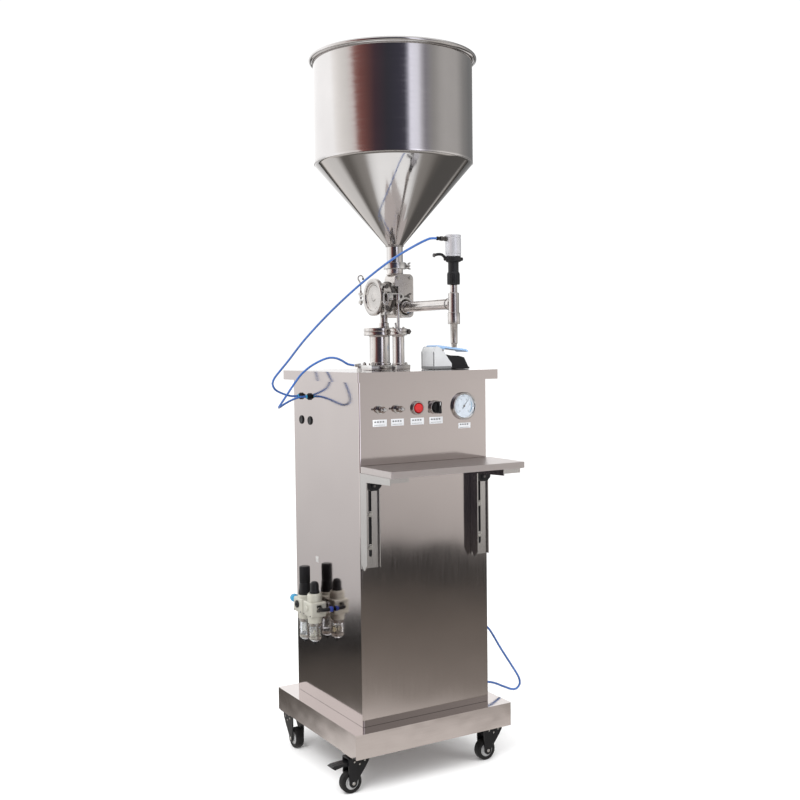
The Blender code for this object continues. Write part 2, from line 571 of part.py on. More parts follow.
# ---------------------------------------------------------------- air preparation unit
def build_air_unit():
    half_x, half_y = 0.0195, 0.0225
    for name, y, top in (("filter", UNIT_Y[0], 0.3922), ("lubricator", UNIT_Y[1], 0.4040)):
        body = box(f"{name}_body", (UNIT_X - half_x, y - half_y, 0.3460),
                   (UNIT_X + half_x, y + half_y, top), CAST, bevel=0.003)
        arm = box(f"{name}_arm", (UNIT_X + half_x - 0.002, y - 0.010, 0.355),
                  (-SIDE - GAP, y + 0.010, 0.380))
        skirt = rod(f"{name}_skirt", 0.0165, 0.011, (UNIT_X, y, 0.3372))
        join(body, arm, skirt)
        if name == "lubricator":
            dome = turned("lubricator_dome", [(0.0, 0.0270), (0.0070, 0.0255), (0.0100, 0.0210),
                                              (0.0100, -0.002), (0.0, -0.002)],
                          (UNIT_X, y, top), UPWARD, None, 16)
            join(body, dome)
        else:
            bonnet = turned("filter_bonnet", [(0.0, 0.0260), (0.0125, 0.0260), (0.0148, 0.0120),
                                              (0.0148, -0.002), (0.0, -0.002)],
                            (UNIT_X, y, top), UPWARD, None, 16)
            join(body, bonnet)
        low = BOWL_LOW[name]
        bowl = [(0.0, 0.3368), (0.0140, 0.3368), (0.0140, 0.3300), (0.0132, 0.3290),
                (0.0132, low + 0.0165), (0.0105, low + 0.0085), (0.0045, low + 0.0055),
                (0.0045, low), (0.0, low)]
        turned(f"{name}_bowl", bowl, (UNIT_X, y, 0), UPWARD, CLEAR, 16)
    knob_low = 0.4186
    knob = [(0.0, 0.0390), (0.0108, 0.0390), (0.0122, 0.0370), (0.0118, 0.0060), (0.0126, 0.0),
            (0.0, 0.0)]
    turned("regulator_knob", knob, (UNIT_X, UNIT_Y[0], knob_low), UPWARD, BLACK, 20)
    inlet = [(0.0, 0.0440), (0.0080, 0.0420), (0.0095, 0.0370), (0.0095, 0.0310),
             (0.0070, 0.0280), (0.0060, 0.0270), (0.0060, 0.0150), (0.0085, 0.0150),
             (0.0085, GAP), (0.0, GAP)]
    turned("air_inlet_fitting", inlet, (UNIT_X, UNIT_Y[0] + half_y, 0.3720), BACKWARD, BLUE, 16)


# ---------------------------------------------------------------- shelf
def build_shelf():
    low = (SHELF_X[0], SHELF_Y[0], SHELF_Z - SHELF_LIP)
    high = (SHELF_X[1], SHELF_Y[1], SHELF_Z)
    open_box("shelf", low, high, [(2, -1)], STAINLESS, sheet=0.0016, rounded=0.002)
    web_w, sheet = 0.0450, 0.0025
    back = FACE - GAP
    leg, arm_z, bottom = 0.0270, (0.6730, 0.6910), 0.4850
    side = [(0, bottom + 0.012), (0, arm_z[1]), (-(back - SHELF_Y[0]) + 0.008, arm_z[1]),
            (-(back - SHELF_Y[0]) + 0.008, arm_z[0] + 0.004), (-leg, arm_z[0]),
            (-leg, bottom + 0.012), (-leg / 2, bottom - 0.003)]
    for name, x in zip(("left", "right"), BRACKET_X):
        web = box(f"bracket_{name}", (x, back - sheet, bottom), (x + web_w, back, arm_z[1]),
                  STAINLESS)
        turn = (math.pi / 2, 0, math.pi / 2)
        plate = outline(f"bracket_side_{name}", side, sheet, (x + sheet / 2, back, 0), turn)
        lip = box(f"bracket_lip_{name}", (x + web_w - sheet, back - 0.007, bottom),
                  (x + web_w, back, arm_z[1] - 0.001))
        front = SHELF_Y[0] + 0.0080
        flange = box(f"bracket_flange_{name}", (x, front, arm_z[1] - sheet),
                     (x + web_w, back, arm_z[1]))
        fold = box(f"bracket_fold_{name}", (x, front, arm_z[1] - 0.0100),
                   (x + web_w, front + sheet, arm_z[1]))
        join(web, plate, lip, flange, fold)
        slot_x, slot_half = x + SLOT_X, 0.0037
        slot = arc((slot_x, SLOT_Z[1]), slot_half, 0, 180, 8)
        slot += arc((slot_x, SLOT_Z[0]), slot_half, 180, 360, 8)
        cut(web, outline(f"slot_{name}", slot, 0.02, (0, back, 0), FORWARD))
        cut(web, rod(f"stud_hole_{name}", 0.0034, 0.02, (slot_x, back + 0.01, KNOB_Z), FORWARD))
        build_shelf_knob(name, slot_x)


SLOT_X, KNOB_Z = 0.0220, 0.6640


def build_shelf_knob(name, x):
    """Clamp knob: hub with two wings, and a stud through the bracket."""
    front = FACE - GAP - 0.0025
    pivot = (x, front, KNOB_Z)
    hub = turned(f"shelf_knob_{name}", [(0.0, 0.0230), (0.0080, 0.0220), (0.0095, 0.0060),
                                        (0.0110, 0.0005), (0.0028, 0.0005), (0.0028, -0.0022),
                                        (0.0, -0.0022)], pivot, FORWARD, BLACK, 16)
    wing = [(-0.0178, 0.0068), (-0.0175, -0.0010), (-0.0090, -0.0110), (0.0090, -0.0110),
            (0.0175, -0.0010), (0.0178, 0.0068)]
    blade = outline(f"knob_wing_{name}", wing, 0.0130, (x, front - 0.0145, KNOB_Z), FORWARD)
    join(hub, blade)


# ---------------------------------------------------------------- panel controls
def build_controls():
    for side in ("left", "right"):
        x = CONTROL_X["speed_" + side]
        at = (x, FACE, PANEL_Z)
        body = [(0.0, 0.0160), (0.0068, 0.0160), (0.0072, 0.0110), (0.0086, 0.0100),
                (0.0086, GAP), (0.0050, GAP), (0.0050, -0.0120), (0.0, -0.0120)]
        turned(f"speed_valve_{side}", body, at, FORWARD, DARK_METAL, 12)
        hub_y = FACE - 0.0164
        hub = turned(f"speed_lever_{side}", [(0.0, 0.0070), (0.0045, 0.0065), (0.0045, 0.0),
                                             (0.0, 0.0)], (x, hub_y, PANEL_Z), FORWARD, CHROME, 12)
        bar = rod(f"lever_bar_{side}", 0.0022, 0.0150, (x, hub_y - 0.0035, PANEL_Z), LEFTWARD,
                  sides=8, top_radius=0.0028)
        join(hub, bar)
    x = CONTROL_X["button"]
    barrel = [(0.0138, 0.0070), (0.0150, 0.0050), (0.0150, GAP), (0.0111, GAP), (0.0111, -0.0240),
              (0.0, -0.0240)]
    well = [(0.0, -0.0200), (0.0095, -0.0200), (0.0095, -0.0010), (0.0112, 0.0005), (0.0112, 0.0070)]
    cup = well + barrel
    turned("button_bezel", cup, (x, FACE, PANEL_Z), FORWARD, CHROME, 16)
    cap = [(0.0, 0.0110), (0.0085, 0.0108), (0.0104, 0.0095), (0.0104, 0.0040), (0.0060, 0.0036),
           (0.0060, -0.0120), (0.0, -0.0120)]
    turned("button_cap", cap, (x, FACE, PANEL_Z), FORWARD, RED, 16)
    x = CONTROL_X["selector"]
    turned("selector_bezel", cup, (x, FACE, PANEL_Z), FORWARD, CHROME, 16)
    core = [(0.0, 0.0120), (0.0095, 0.0115), (0.0104, 0.0095), (0.0104, 0.0040),
            (0.0060, 0.0036), (0.0060, -0.0120), (0.0, -0.0120)]
    knob = turned("selector_knob", core, (x, FACE, PANEL_Z), FORWARD, BLACK, 16)
    grip = box("selector_grip", (x - 0.0052, FACE - 0.0300, PANEL_Z - 0.0140),
               (x + 0.0052, FACE - 0.0095, PANEL_Z + 0.0140))
    join(knob, grip)
    build_gauge()


def build_gauge():
    x = CONTROL_X["gauge"]
    case = [(0.0, 0.0085), (0.0272, 0.0085), (0.0275, 0.0125), (0.0300, 0.0128), (0.0310, 0.0110),
            (0.0310, GAP), (0.0262, GAP), (0.0262, -0.0180), (0.0060, -0.0200), (0.0060, -0.0340),
            (0.0, -0.0340)]
    turned("gauge_case", case, (x, FACE, PANEL_Z), FORWARD, BLACK_STEEL, 24)
    hub_y = FACE - 0.0088
    needle = turned("gauge_needle", [(0.0, 0.0014), (0.0026, 0.0014), (0.0026, 0.0), (0.0, 0.0)],
                    (x, hub_y, PANEL_Z), FORWARD, RED, 16)
    reading = math.radians(52)
    blade = outline("needle_blade", [(-0.0070, -0.0009), (0.0215, -0.0003), (0.0215, 0.0003),
                                     (-0.0070, 0.0009)], 0.0006, (x, hub_y - 0.0008, PANEL_Z),
                    (math.pi / 2, -reading, 0))
    join(needle, blade)


# ---------------------------------------------------------------- foot valve on the top plate
PEDAL_MID = (0.1250, -0.0550)
PEDAL_L, PEDAL_W = 0.0980, 0.0560
PEDAL_PIVOT_X, PEDAL_PIVOT_Z = PEDAL_MID[0] - 0.0250, TOP_PLATE_Z[1] + 0.0445


def build_foot_valve():
    """Base plate, rear cowl and valve body in one casting, with the pedal hinged on the cowl."""
    x0, x1 = PEDAL_MID[0] - PEDAL_L / 2, PEDAL_MID[0] + PEDAL_L / 2
    floor = TOP_PLATE_Z[1] + GAP
    side = [(x0, floor), (x1, floor), (x1 - 0.001, floor + 0.0050), (x1 - 0.014, floor + 0.0270),
            (x1 - 0.030, floor + 0.0310), (x0 + 0.046, floor + 0.0320), (x0 + 0.030, floor + 0.0380),
            (x0 + 0.020, floor + 0.0520), (x0 + 0.007, floor + 0.0520), (x0, floor + 0.0400)]
    base = outline("foot_valve_base", side, PEDAL_W, (0, PEDAL_MID[1], 0), FORWARD, GREY)
    notch_w = PEDAL_W / 2 - 0.0045
    notch = box("cowl_notch", (PEDAL_PIVOT_X - 0.0110, PEDAL_MID[1] - notch_w, floor + 0.0350),
                (x1 + 0.01, PEDAL_MID[1] + notch_w, floor + 0.0700))
    cut(base, notch)
    toe = x1 - PEDAL_PIVOT_X
    pedal = [(-0.0075, -0.0030), (0.0030, -0.0050), (toe - 0.0150, 0.0010), (toe - 0.0080, -0.0040),
             (toe - 0.0010, -0.0040), (toe - 0.0010, -0.0010), (toe - 0.0080, 0.0050),
             (-0.0020, 0.0062), (-0.0075, 0.0045)]
    outline("foot_pedal", pedal, 2 * notch_w - 0.0014,
            (PEDAL_PIVOT_X, PEDAL_MID[1], PEDAL_PIVOT_Z), FORWARD, PEDAL_BLUE)


# ---------------------------------------------------------------- casters
def build_casters():
    """Two front forks trail to the left, two rear ones to the front; the front left has a brake."""
    headings = {("front", "left"): math.pi, ("front", "right"): math.pi,
                ("rear", "left"): -math.pi / 2, ("rear", "right"): -math.pi / 2}
    for (row, side), heading in headings.items():
        x = CASTER_X if side == "right" else -CASTER_X
        build_caster(f"{row}_{side}", x, CASTER_Y[row], heading)
    build_brake(-CASTER_X, CASTER_Y["front"])


def build_caster(name, x, y, heading):
    turn_z = (0, 0, heading)
    along = Vector((math.cos(heading), math.sin(heading), 0))
    top_z, race_z = 0.0790, CASTER_TOP - GAP
    swivel = (x, y, 0)
    race = [(0.0, race_z), (0.0150, race_z), (0.0180, race_z - 0.0030), (0.0180, top_z - 0.001),
            (0.0, top_z - 0.001)]
    fork = turned(f"caster_fork_{name}", race, swivel, turn_z, BLACK_STEEL, 12)
    leg_y, sheet = 0.0140, 0.0028
    bridge = box(f"fork_bridge_{name}", (-0.0230, -leg_y - sheet / 2, top_z - 0.0030),
                 (0.0270, leg_y + sheet / 2, top_z), about=(0, 0, 0))
    bridge.location = swivel
    bridge.rotation_euler = turn_z
    axle_z = WHEEL_R
    side = [(-0.0230, top_z), (-0.0230, top_z - 0.010), (TRAIL - 0.0090, axle_z + 0.002)]
    side += arc((TRAIL, axle_z), 0.0090, 180, 360, 4)
    side += [(TRAIL + 0.0095, axle_z + 0.012), (0.0270, top_z - 0.012), (0.0270, top_z)]
    join(fork, bridge)
    for index, sign in enumerate((-1, 1)):
        leg = outline(f"fork_leg_{name}_{index}", side, sheet, (0, 0, 0), (math.pi / 2, 0, heading))
        offset = Vector((-along.y, along.x, 0)) * (sign * leg_y)
        leg.location = Vector(swivel) + offset
        join(fork, leg)
    axle_at = Vector((x, y, axle_z)) + along * TRAIL
    axle_turn = (math.pi / 2, 0, heading)
    pin_length = 2 * leg_y + 0.0060
    sideways = Vector((-along.y, along.x, 0))
    pin = rod(f"axle_{name}", 0.0040, pin_length, axle_at + sideways * (pin_length / 2), axle_turn,
              sides=8)
    join(fork, pin)
    half = WHEEL_W / 2
    tread = [(WHEEL_R - 0.0030, half), (WHEEL_R, half - 0.0030), (WHEEL_R, -half + 0.0030),
             (WHEEL_R - 0.0030, -half), (0.0047, -half), (0.0047, half)]
    turned(f"caster_wheel_{name}", tread, axle_at, axle_turn, RUBBER, 24)


def build_brake(x, y):
    """Tongue between the front left fork's legs, pressed down with the foot."""
    pivot_z = 0.0655
    reach = 0.0665 - TRAIL
    tongue = [(-0.0060, 0.0040), (-0.0060, -0.0040), (0.0060, -0.0050), (0.0220, -0.0020),
              (0.0420, -0.0060), (reach, 0.0002), (reach - 0.008, 0.0035), (0.0200, 0.0048)]
    outline("brake_pedal", tongue, 0.0220, (x - TRAIL, y, pivot_z), (math.pi / 2, 0, math.pi),
            BLACK_STEEL, bevel=0.0010)


# ---------------------------------------------------------------- air hoses
NOZZLE_ROUTE = [(-0.0259, -0.2548, 1.1850), (-0.0420, -0.2530, 1.1835), (-0.0620, -0.2250, 1.1700),
                (-0.0830, -0.1700, 1.1460), (-0.1080, -0.1150, 1.1125), (-0.1370, -0.0620, 1.0715),
                (-0.1650, -0.0040, 1.0240), (-0.1900, 0.0500, 0.9750), (-0.2115, 0.0910, 0.9285),
                (-0.2350, 0.1150, 0.8900), (-0.2385, 0.1195, 0.8750), (-0.2300, 0.1205, 0.8610),
                (-0.2140, 0.1205, 0.8535), (-0.1950, 0.1200, 0.8470), (-0.1762, 0.1200, 0.8460)]
PLATE_ROUTE = [(-0.1762, 0.0755, 0.8460), (-0.1930, 0.0755, 0.8450), (-0.2130, 0.0746, 0.8390),
               (-0.2325, 0.0735, 0.8300), (-0.2490, 0.0636, 0.8235), (-0.2530, 0.0463, 0.8310),
               (-0.2475, 0.0349, 0.8457), (-0.2382, 0.0280, 0.8627), (-0.2262, 0.0219, 0.8822),
               (-0.2140, 0.0159, 0.8995), (-0.1988, 0.0076, 0.9145), (-0.1835, -0.0009, 0.9252),
               (-0.1642, -0.0118, 0.9345), (-0.1492, -0.0206, 0.9355), (-0.1360, -0.0320, 0.9290),
               (-0.1260, -0.0430, 0.9205), (-0.1130, -0.0460, 0.9182)]
SIDE_ROUTE = [(0.1762, -0.1200, 0.3020), (0.1900, -0.1200, 0.3000), (0.2040, -0.1200, 0.2840),
              (0.2314, -0.1200, 0.2410), (0.2631, -0.1200, 0.1948), (0.2840, -0.1200, 0.1620),
              (0.2850, -0.1200, 0.1440), (0.2690, -0.1200, 0.1365), (0.2424, -0.1200, 0.1470),
              (0.2180, -0.1200, 0.1590), (0.1960, -0.1200, 0.1670), (0.1762, -0.1200, 0.1680)]


def smooth_route(route, spacing):
    """Points a given distance apart on the Catmull-Rom curve through the route."""
    points = [Vector(point) for point in route]
    ends = [2 * points[0] - points[1]] + points + [2 * points[-1] - points[-2]]
    dense = []
    fine = 24
    for index in range(1, len(ends) - 2):
        before, here, there, beyond = ends[index - 1:index + 3]
        for step in range(fine):
            t = step / fine
            dense.append(0.5 * (2 * here + (there - before) * t
                                + (2 * before - 5 * here + 4 * there - beyond) * t ** 2
                                + (3 * here - before - 3 * there + beyond) * t ** 3))
    dense.append(points[-1])
    total = sum((b - a).length for a, b in zip(dense[:-1], dense[1:]))
    count = max(2, round(total / spacing))
    step_length = total / count
    result, walked, target = [dense[0]], 0.0, step_length
    for a, b in zip(dense[:-1], dense[1:]):
        length = (b - a).length
        while walked + length >= target and len(result) < count:
            result.append(a.lerp(b, (target - walked) / length))
            target += step_length
        walked += length
    result.append(dense[-1])
    return result


def build_hose(name, route):
    curve = bpy.data.curves.new(name, "CURVE")
    curve.dimensions = "3D"
    curve.bevel_depth = HOSE_R
    curve.bevel_resolution = 2
    curve.resolution_u = 1
    curve.render_resolution_u = 0
    curve.use_fill_caps = True
    points = smooth_route(route, 6 * HOSE_R)
    spline = curve.splines.new("POLY")
    spline.points.add(len(points) - 1)
    for place_on, point in zip(spline.points, points):
        place_on.co = (*point, 1.0)
    place(name, curve, (0, 0, 0), UPWARD, HOSE_BLUE)


def build_hoses():
    build_hose("hose_nozzle", NOZZLE_ROUTE)
    build_hose("hose_plate", PLATE_ROUTE)
    build_hose("hose_side", SIDE_ROUTE)


# ---------------------------------------------------------------- the machine
build_plinth()
build_cabinet()
build_top_plate()
build_bulkheads()
build_hopper()
build_hopper_clamp()
build_valve_body()
build_valve_end_clamp()
build_valve_rotor()
build_metering_cylinder()
build_metering_drive()
build_valve_actuator()
build_outlet()
build_nozzle()
build_nozzle_drive()
build_air_unit()
build_shelf()
build_controls()
build_foot_valve()
build_casters()
build_hoses()
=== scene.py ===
import math

import bmesh
import bpy
from mathutils import Matrix, Vector


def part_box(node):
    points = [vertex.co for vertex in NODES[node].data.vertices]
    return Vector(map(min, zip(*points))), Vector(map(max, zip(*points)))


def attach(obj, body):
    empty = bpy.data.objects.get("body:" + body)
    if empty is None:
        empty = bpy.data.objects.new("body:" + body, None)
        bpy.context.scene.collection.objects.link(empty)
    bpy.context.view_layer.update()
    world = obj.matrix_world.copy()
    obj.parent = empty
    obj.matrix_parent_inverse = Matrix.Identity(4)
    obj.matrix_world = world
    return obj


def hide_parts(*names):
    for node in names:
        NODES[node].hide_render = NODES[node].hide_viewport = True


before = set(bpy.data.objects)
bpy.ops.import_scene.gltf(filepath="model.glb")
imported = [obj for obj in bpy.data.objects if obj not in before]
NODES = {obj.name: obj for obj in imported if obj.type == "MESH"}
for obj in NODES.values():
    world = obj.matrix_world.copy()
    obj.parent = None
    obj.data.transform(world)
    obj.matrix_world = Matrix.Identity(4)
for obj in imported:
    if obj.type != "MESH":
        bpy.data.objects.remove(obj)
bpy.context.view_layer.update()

CAB_LOW, CAB_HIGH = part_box("cabinet_shell")
MIDDLE = (CAB_LOW + CAB_HIGH) / 2
FACE = CAB_LOW.y - MIDDLE.y            # front panel, from the cabinet's middle
SIDE = CAB_HIGH.x - MIDDLE.x
SCENE = bpy.context.scene

FORWARD = (math.pi / 2, 0, 0)          # local +Z turned to -Y
BACKWARD = (-math.pi / 2, 0, 0)
LEFTWARD = (0, -math.pi / 2, 0)
RIGHTWARD = (0, math.pi / 2, 0)
UPWARD = (0, 0, 0)


def spot(x, y, z):
    """A place given from the middle of the cabinet's footprint, in the row frame."""
    return Vector((x + MIDDLE.x, y + MIDDLE.y, z))


def centre(node):
    low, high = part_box(node)
    return (low + high) / 2


# ---------------------------------------------------------------- camera
CAMERA_AT, CAMERA_YAW, CAMERA_PITCH, CAMERA_ROLL = (-1.2588, -2.1735, 0.9599), -30.715, -2.857, -0.674
FOCAL = 1.3493                         # focal length over the frame's width


def make_camera():
    data = bpy.data.cameras.new("camera")
    data.sensor_width = 36.0
    data.lens = 36.0 * FOCAL
    data.clip_end = 50.0
    camera = bpy.data.objects.new("camera", data)
    SCENE.collection.objects.link(camera)
    turn = Matrix.Rotation(math.radians(CAMERA_YAW), 4, "Z")
    turn @= Matrix.Rotation(math.radians(90 + CAMERA_PITCH), 4, "X")
    turn @= Matrix.Rotation(math.radians(CAMERA_ROLL), 4, "Z")
    camera.matrix_world = Matrix.Translation(spot(*CAMERA_AT)) @ turn
    SCENE.camera = camera


# ---------------------------------------------------------------- materials
def new_material(name, colour, roughness, metallic=0.0, **sockets):
    material = bpy.data.materials.new(name)
    material.use_nodes = True
    tree = material.node_tree
    shader = tree.nodes["Principled BSDF"]
    shader.inputs["Base Color"].default_value = (*colour, 1.0)
    shader.inputs["Roughness"].default_value = roughness
    shader.inputs["Metallic"].default_value = metallic
    for socket, value in sockets.items():
        shader.inputs[socket.replace("_", " ")].default_value = value
    return material, tree, shader


def noise(tree, scale, detail=4.0, stretch=(1, 1, 1), rough=0.55):
    """A noise over the piece's own coordinates, in waves per metre, with a stretch for grain."""
    place = tree.nodes.new("ShaderNodeTexCoord")
    mapping = tree.nodes.new("ShaderNodeMapping")
    mapping.inputs["Scale"].default_value = stretch
    texture = tree.nodes.new("ShaderNodeTexNoise")
    texture.inputs["Scale"].default_value = scale
    texture.inputs["Detail"].default_value = detail
    texture.inputs["Roughness"].default_value = rough
    tree.links.new(place.outputs["Object"], mapping.inputs["Vector"])
    tree.links.new(mapping.outputs["Vector"], texture.inputs["Vector"])
    return texture.outputs["Fac"]


def spread(tree, value, low, high, start=0.3, stop=0.7):
    node = tree.nodes.new("ShaderNodeMapRange")
    node.inputs["From Min"].default_value = start
    node.inputs["From Max"].default_value = stop
    node.inputs["To Min"].default_value = low
    node.inputs["To Max"].default_value = high
    tree.links.new(value, node.inputs["Value"])
    return node.outputs["Result"]


def blend_colours(tree, value, first, second):
    node = tree.nodes.new("ShaderNodeMix")
    node.data_type = "RGBA"
    node.inputs[6].default_value = (*first, 1.0)
    node.inputs[7].default_value = (*second, 1.0)
    tree.links.new(value, node.inputs[0])
    return node.outputs[2]


def shade(colour, factor):
    return tuple(min(1.0, channel * factor) for channel in colour)


def bump(tree, shader, value, strength, distance=0.0004, under=None):
    node = tree.nodes.new("ShaderNodeBump")
    if under:
        tree.links.new(under, node.inputs["Normal"])
    node.inputs["Strength"].default_value = strength
    node.inputs["Distance"].default_value = distance
    tree.links.new(value, node.inputs["Height"])
    tree.links.new(node.outputs["Normal"], shader.inputs["Normal"])
    return node.outputs["Normal"]


def metal(name, colour, roughness, grain=(1, 1, 1), grain_scale=900.0, depth=0.05, vary=0.05, cloud=5.0,
        tint=0.07, wave=0.0, wave_scale=3.0, wave_stretch=(1, 1, 1), **sockets):
    """Metal with a fine grain along one direction and slow clouds of handling in its sheen."""
    material, tree, shader = new_material(name, colour, roughness, 1.0, **sockets)
    fine = noise(tree, grain_scale, 3.0, grain)
    slow = noise(tree, cloud, 3.0)
    tree.links.new(blend_colours(tree, spread(tree, slow, 0.0, 1.0), shade(colour, 1 - tint),
            shade(colour, 1 + tint)), shader.inputs["Base Color"])
    both = tree.nodes.new("ShaderNodeMath")
    both.operation = "MULTIPLY"
    tree.links.new(spread(tree, fine, 1 - 4 * vary, 1 + 4 * vary), both.inputs[0])
    tree.links.new(spread(tree, slow, roughness * (1 - vary), roughness * (1 + 3 * vary)), both.inputs[1])
    tree.links.new(both.outputs[0], shader.inputs["Roughness"])
    under = bump(tree, shader, noise(tree, wave_scale, 2.0, wave_stretch), 1.0, wave) if wave else None
    bump(tree, shader, fine, depth, under=under)
    return material


def plastic(name, colour, roughness, scale=1400.0, depth=0.12, tint=0.12, metallic=0.0, wear=0.0,
        worn=(0.35, 0.34, 0.33), **sockets):
    """Moulded plastic, rubber or paint: a fine texture, slow colour change, and worn edges."""
    material, tree, shader = new_material(name, colour, roughness, metallic, **sockets)
    fine = noise(tree, scale, 2.0)
    slow = noise(tree, 35.0, 4.0)
    colour_out = blend_colours(tree, spread(tree, slow, 0.0, 1.0), shade(colour, 1 - tint),
            shade(colour, 1 + tint))
    if wear:
        geometry = tree.nodes.new("ShaderNodeNewGeometry")
        edge = spread(tree, geometry.outputs["Pointiness"], 0.0, wear, 0.53, 0.62)
        mix = tree.nodes.new("ShaderNodeMix")
        mix.data_type = "RGBA"
        tree.links.new(edge, mix.inputs[0])
        tree.links.new(colour_out, mix.inputs[6])
        mix.inputs[7].default_value = (*worn, 1.0)
        colour_out = mix.outputs[2]
    tree.links.new(colour_out, shader.inputs["Base Color"])
    tree.links.new(spread(tree, fine, roughness * 0.9, roughness * 1.12), shader.inputs["Roughness"])
    bump(tree, shader, fine, depth, 0.0002)
    return material


STEEL = (0.625, 0.57, 0.555)
MATERIALS = dict(
    panel=metal("panel_steel", STEEL, 0.085, (1, 1, 0.012), 1500.0, 0.03, 0.05, 3.0, 0.03, 0.0011, 3.2),
    plate=metal("plate_steel", STEEL, 0.12, (0.012, 1, 1), 1500.0, 0.03, 0.05, 4.0, 0.04),
    plinth=metal("plinth_steel", (0.63, 0.58, 0.565), 0.1, (0.02, 1, 1), 900.0, 0.015, 0.05, 3.0, 0.03,
            0.001, 8.0),
    shelf=metal("shelf_steel", (0.66, 0.61, 0.595), 0.34, (0.012, 1, 1), 1500.0, 0.03, 0.05, 4.0, 0.04),
    hopper=metal("hopper_steel", (0.66, 0.64, 0.635), 0.1, (0.02, 0.02, 1), 260.0, 0.045, 0.1, 6.0, 0.05,
            0.00011, 110.0, (0.16, 0.16, 1)),
    hopper_cone=metal("hopper_cone_steel", (0.66, 0.64, 0.63), 0.085, (0.02, 0.02, 1), 700.0, 0.02, 0.06,
            6.0, 0.04),
    seam=metal("weld_steel", (0.55, 0.53, 0.52), 0.3, (1, 1, 1), 500.0, 0.25, 0.06, 40.0, 0.1),
    turned=metal("turned_steel", (0.7, 0.67, 0.65), 0.24, (0.05, 0.05, 1), 1500.0, 0.003, 0.012, 20.0,
            0.06),
    bright=metal("bright_steel", (0.7, 0.69, 0.68), 0.12, (1, 1, 1), 700.0, 0.03, 0.05, 30.0, 0.06),
    cast=metal("cast_steel", (0.58, 0.56, 0.54), 0.27, (1, 1, 1), 450.0, 0.16, 0.06, 40.0, 0.1),
    dark=metal("dark_metal", (0.16, 0.15, 0.145), 0.32, (1, 1, 1), 700.0, 0.08, 0.05, 60.0, 0.15),
    bronze=metal("dark_bronze", (0.4, 0.33, 0.29), 0.3, (1, 1, 1), 700.0, 0.04, 0.05, 60.0, 0.12),
    zinc=metal("zinc_screw", (0.62, 0.61, 0.58), 0.25, (1, 1, 1), 900.0, 0.06, 0.05, 80.0, 0.1),
    bracket=metal("bracket_steel", (0.62, 0.6, 0.585), 0.2, (1, 1, 0.02), 1200.0, 0.03, 0.05, 8.0, 0.05),
    cap=metal("cap_steel", (0.6, 0.575, 0.555), 0.2, (1, 1, 1), 500.0, 0.01, 0.02, 25.0, 0.05),
    polished_cast=metal("polished_casting", (0.68, 0.645, 0.62), 0.3, (1, 1, 1), 300.0, 0.06, 0.06, 40.0,
            0.08),
    turned_dark=metal("turned_dark_steel", (0.68, 0.65, 0.63), 0.15, (0.05, 0.05, 1), 1500.0, 0.003, 0.012,
            20.0, 0.08),
    alloy=plastic("satin_aluminium", (0.58, 0.58, 0.61), 0.36, 1600.0, 0.008, 0.03, 0.6),
    die_cast=plastic("die_cast_alloy", (0.5, 0.49, 0.43), 0.42, 600.0, 0.2, 0.07, 0.45),
    black=plastic("black_plastic", (0.009, 0.009, 0.01), 0.4, 1500.0, 0.1, 0.25, Specular_IOR_Level=0.35),
    knob=plastic("knob_plastic", (0.007, 0.007, 0.008), 0.36, 900.0, 0.16, 0.25, Specular_IOR_Level=0.35),
    fork=plastic("black_enamel", (0.008, 0.008, 0.009), 0.3, 500.0, 0.1, 0.25, Specular_IOR_Level=0.3),
    tread=plastic("tyre_rubber", (0.014, 0.0135, 0.0135), 0.55, 900.0, 0.3, 0.3, Specular_IOR_Level=0.2),
    rim=plastic("wheel_rim", (0.42, 0.42, 0.42), 0.35, 900.0, 0.1, 0.08),
    dark_grey=plastic("dark_grey_paint", (0.2, 0.205, 0.21), 0.4, 600.0, 0.14, 0.06),
    grey=plastic("grey_paint", (0.55, 0.57, 0.59), 0.36, 600.0, 0.14, 0.05, 0.0, 0.35, (0.78, 0.78, 0.78)),
    pedal=plastic("pedal_blue", (0.2, 0.4, 0.7), 0.34, 900.0, 0.14, 0.08, 0.0, 0.35, (0.55, 0.68, 0.86)),
    red=plastic("red_plastic", (0.46, 0.016, 0.018), 0.24, 900.0, 0.05, 0.08),
    blue=plastic("fitting_blue", (0.03, 0.245, 0.43), 0.3, 900.0, 0.08, 0.1),
    navy=plastic("dark_blue_collar", (0.018, 0.035, 0.2), 0.3, 900.0, 0.08, 0.1),
    hose=plastic("blue_hose", (0.033, 0.105, 0.33), 0.26, 400.0, 0.05, 0.18, Coat_Weight=0.5),
    side_label=plastic("side_label_film", (0.47, 0.46, 0.45), 0.45, 700.0, 0.06, 0.05),
    label=plastic("label_film", (0.64, 0.65, 0.67), 0.45, 700.0, 0.06, 0.03),
    ink=plastic("label_ink", (0.1, 0.1, 0.11), 0.5, 700.0, 0.06, 0.2),
    dial=plastic("dial_face", (0.68, 0.72, 0.77), 0.38, 500.0, 0.03, 0.02),
    bowl=plastic("clear_bowl", (0.86, 0.88, 0.9), 0.1, 300.0, 0.03, 0.03, Transmission_Weight=0.92,
            IOR=1.45),
    element=plastic("filter_element", (0.7, 0.68, 0.62), 0.6, 500.0, 0.4, 0.1),
    oil=plastic("clear_oil", (0.72, 0.62, 0.4), 0.08, 300.0, 0.02, 0.04, Transmission_Weight=0.85,
            IOR=1.47),
    floor=plastic("studio_floor", (0.95, 0.95, 0.95), 0.9, 40.0, 0.02, 0.01),
    lens=plastic("gauge_lens", (0.93, 0.95, 0.97), 0.05, 300.0, 0.01, 0.01, Transmission_Weight=0.97,
            IOR=1.2),
)


# ---------------------------------------------------------------- making pieces
def mm(*points):
    """Points given in millimetres."""
    return [(x / 1000, y / 1000) for x, y in points]


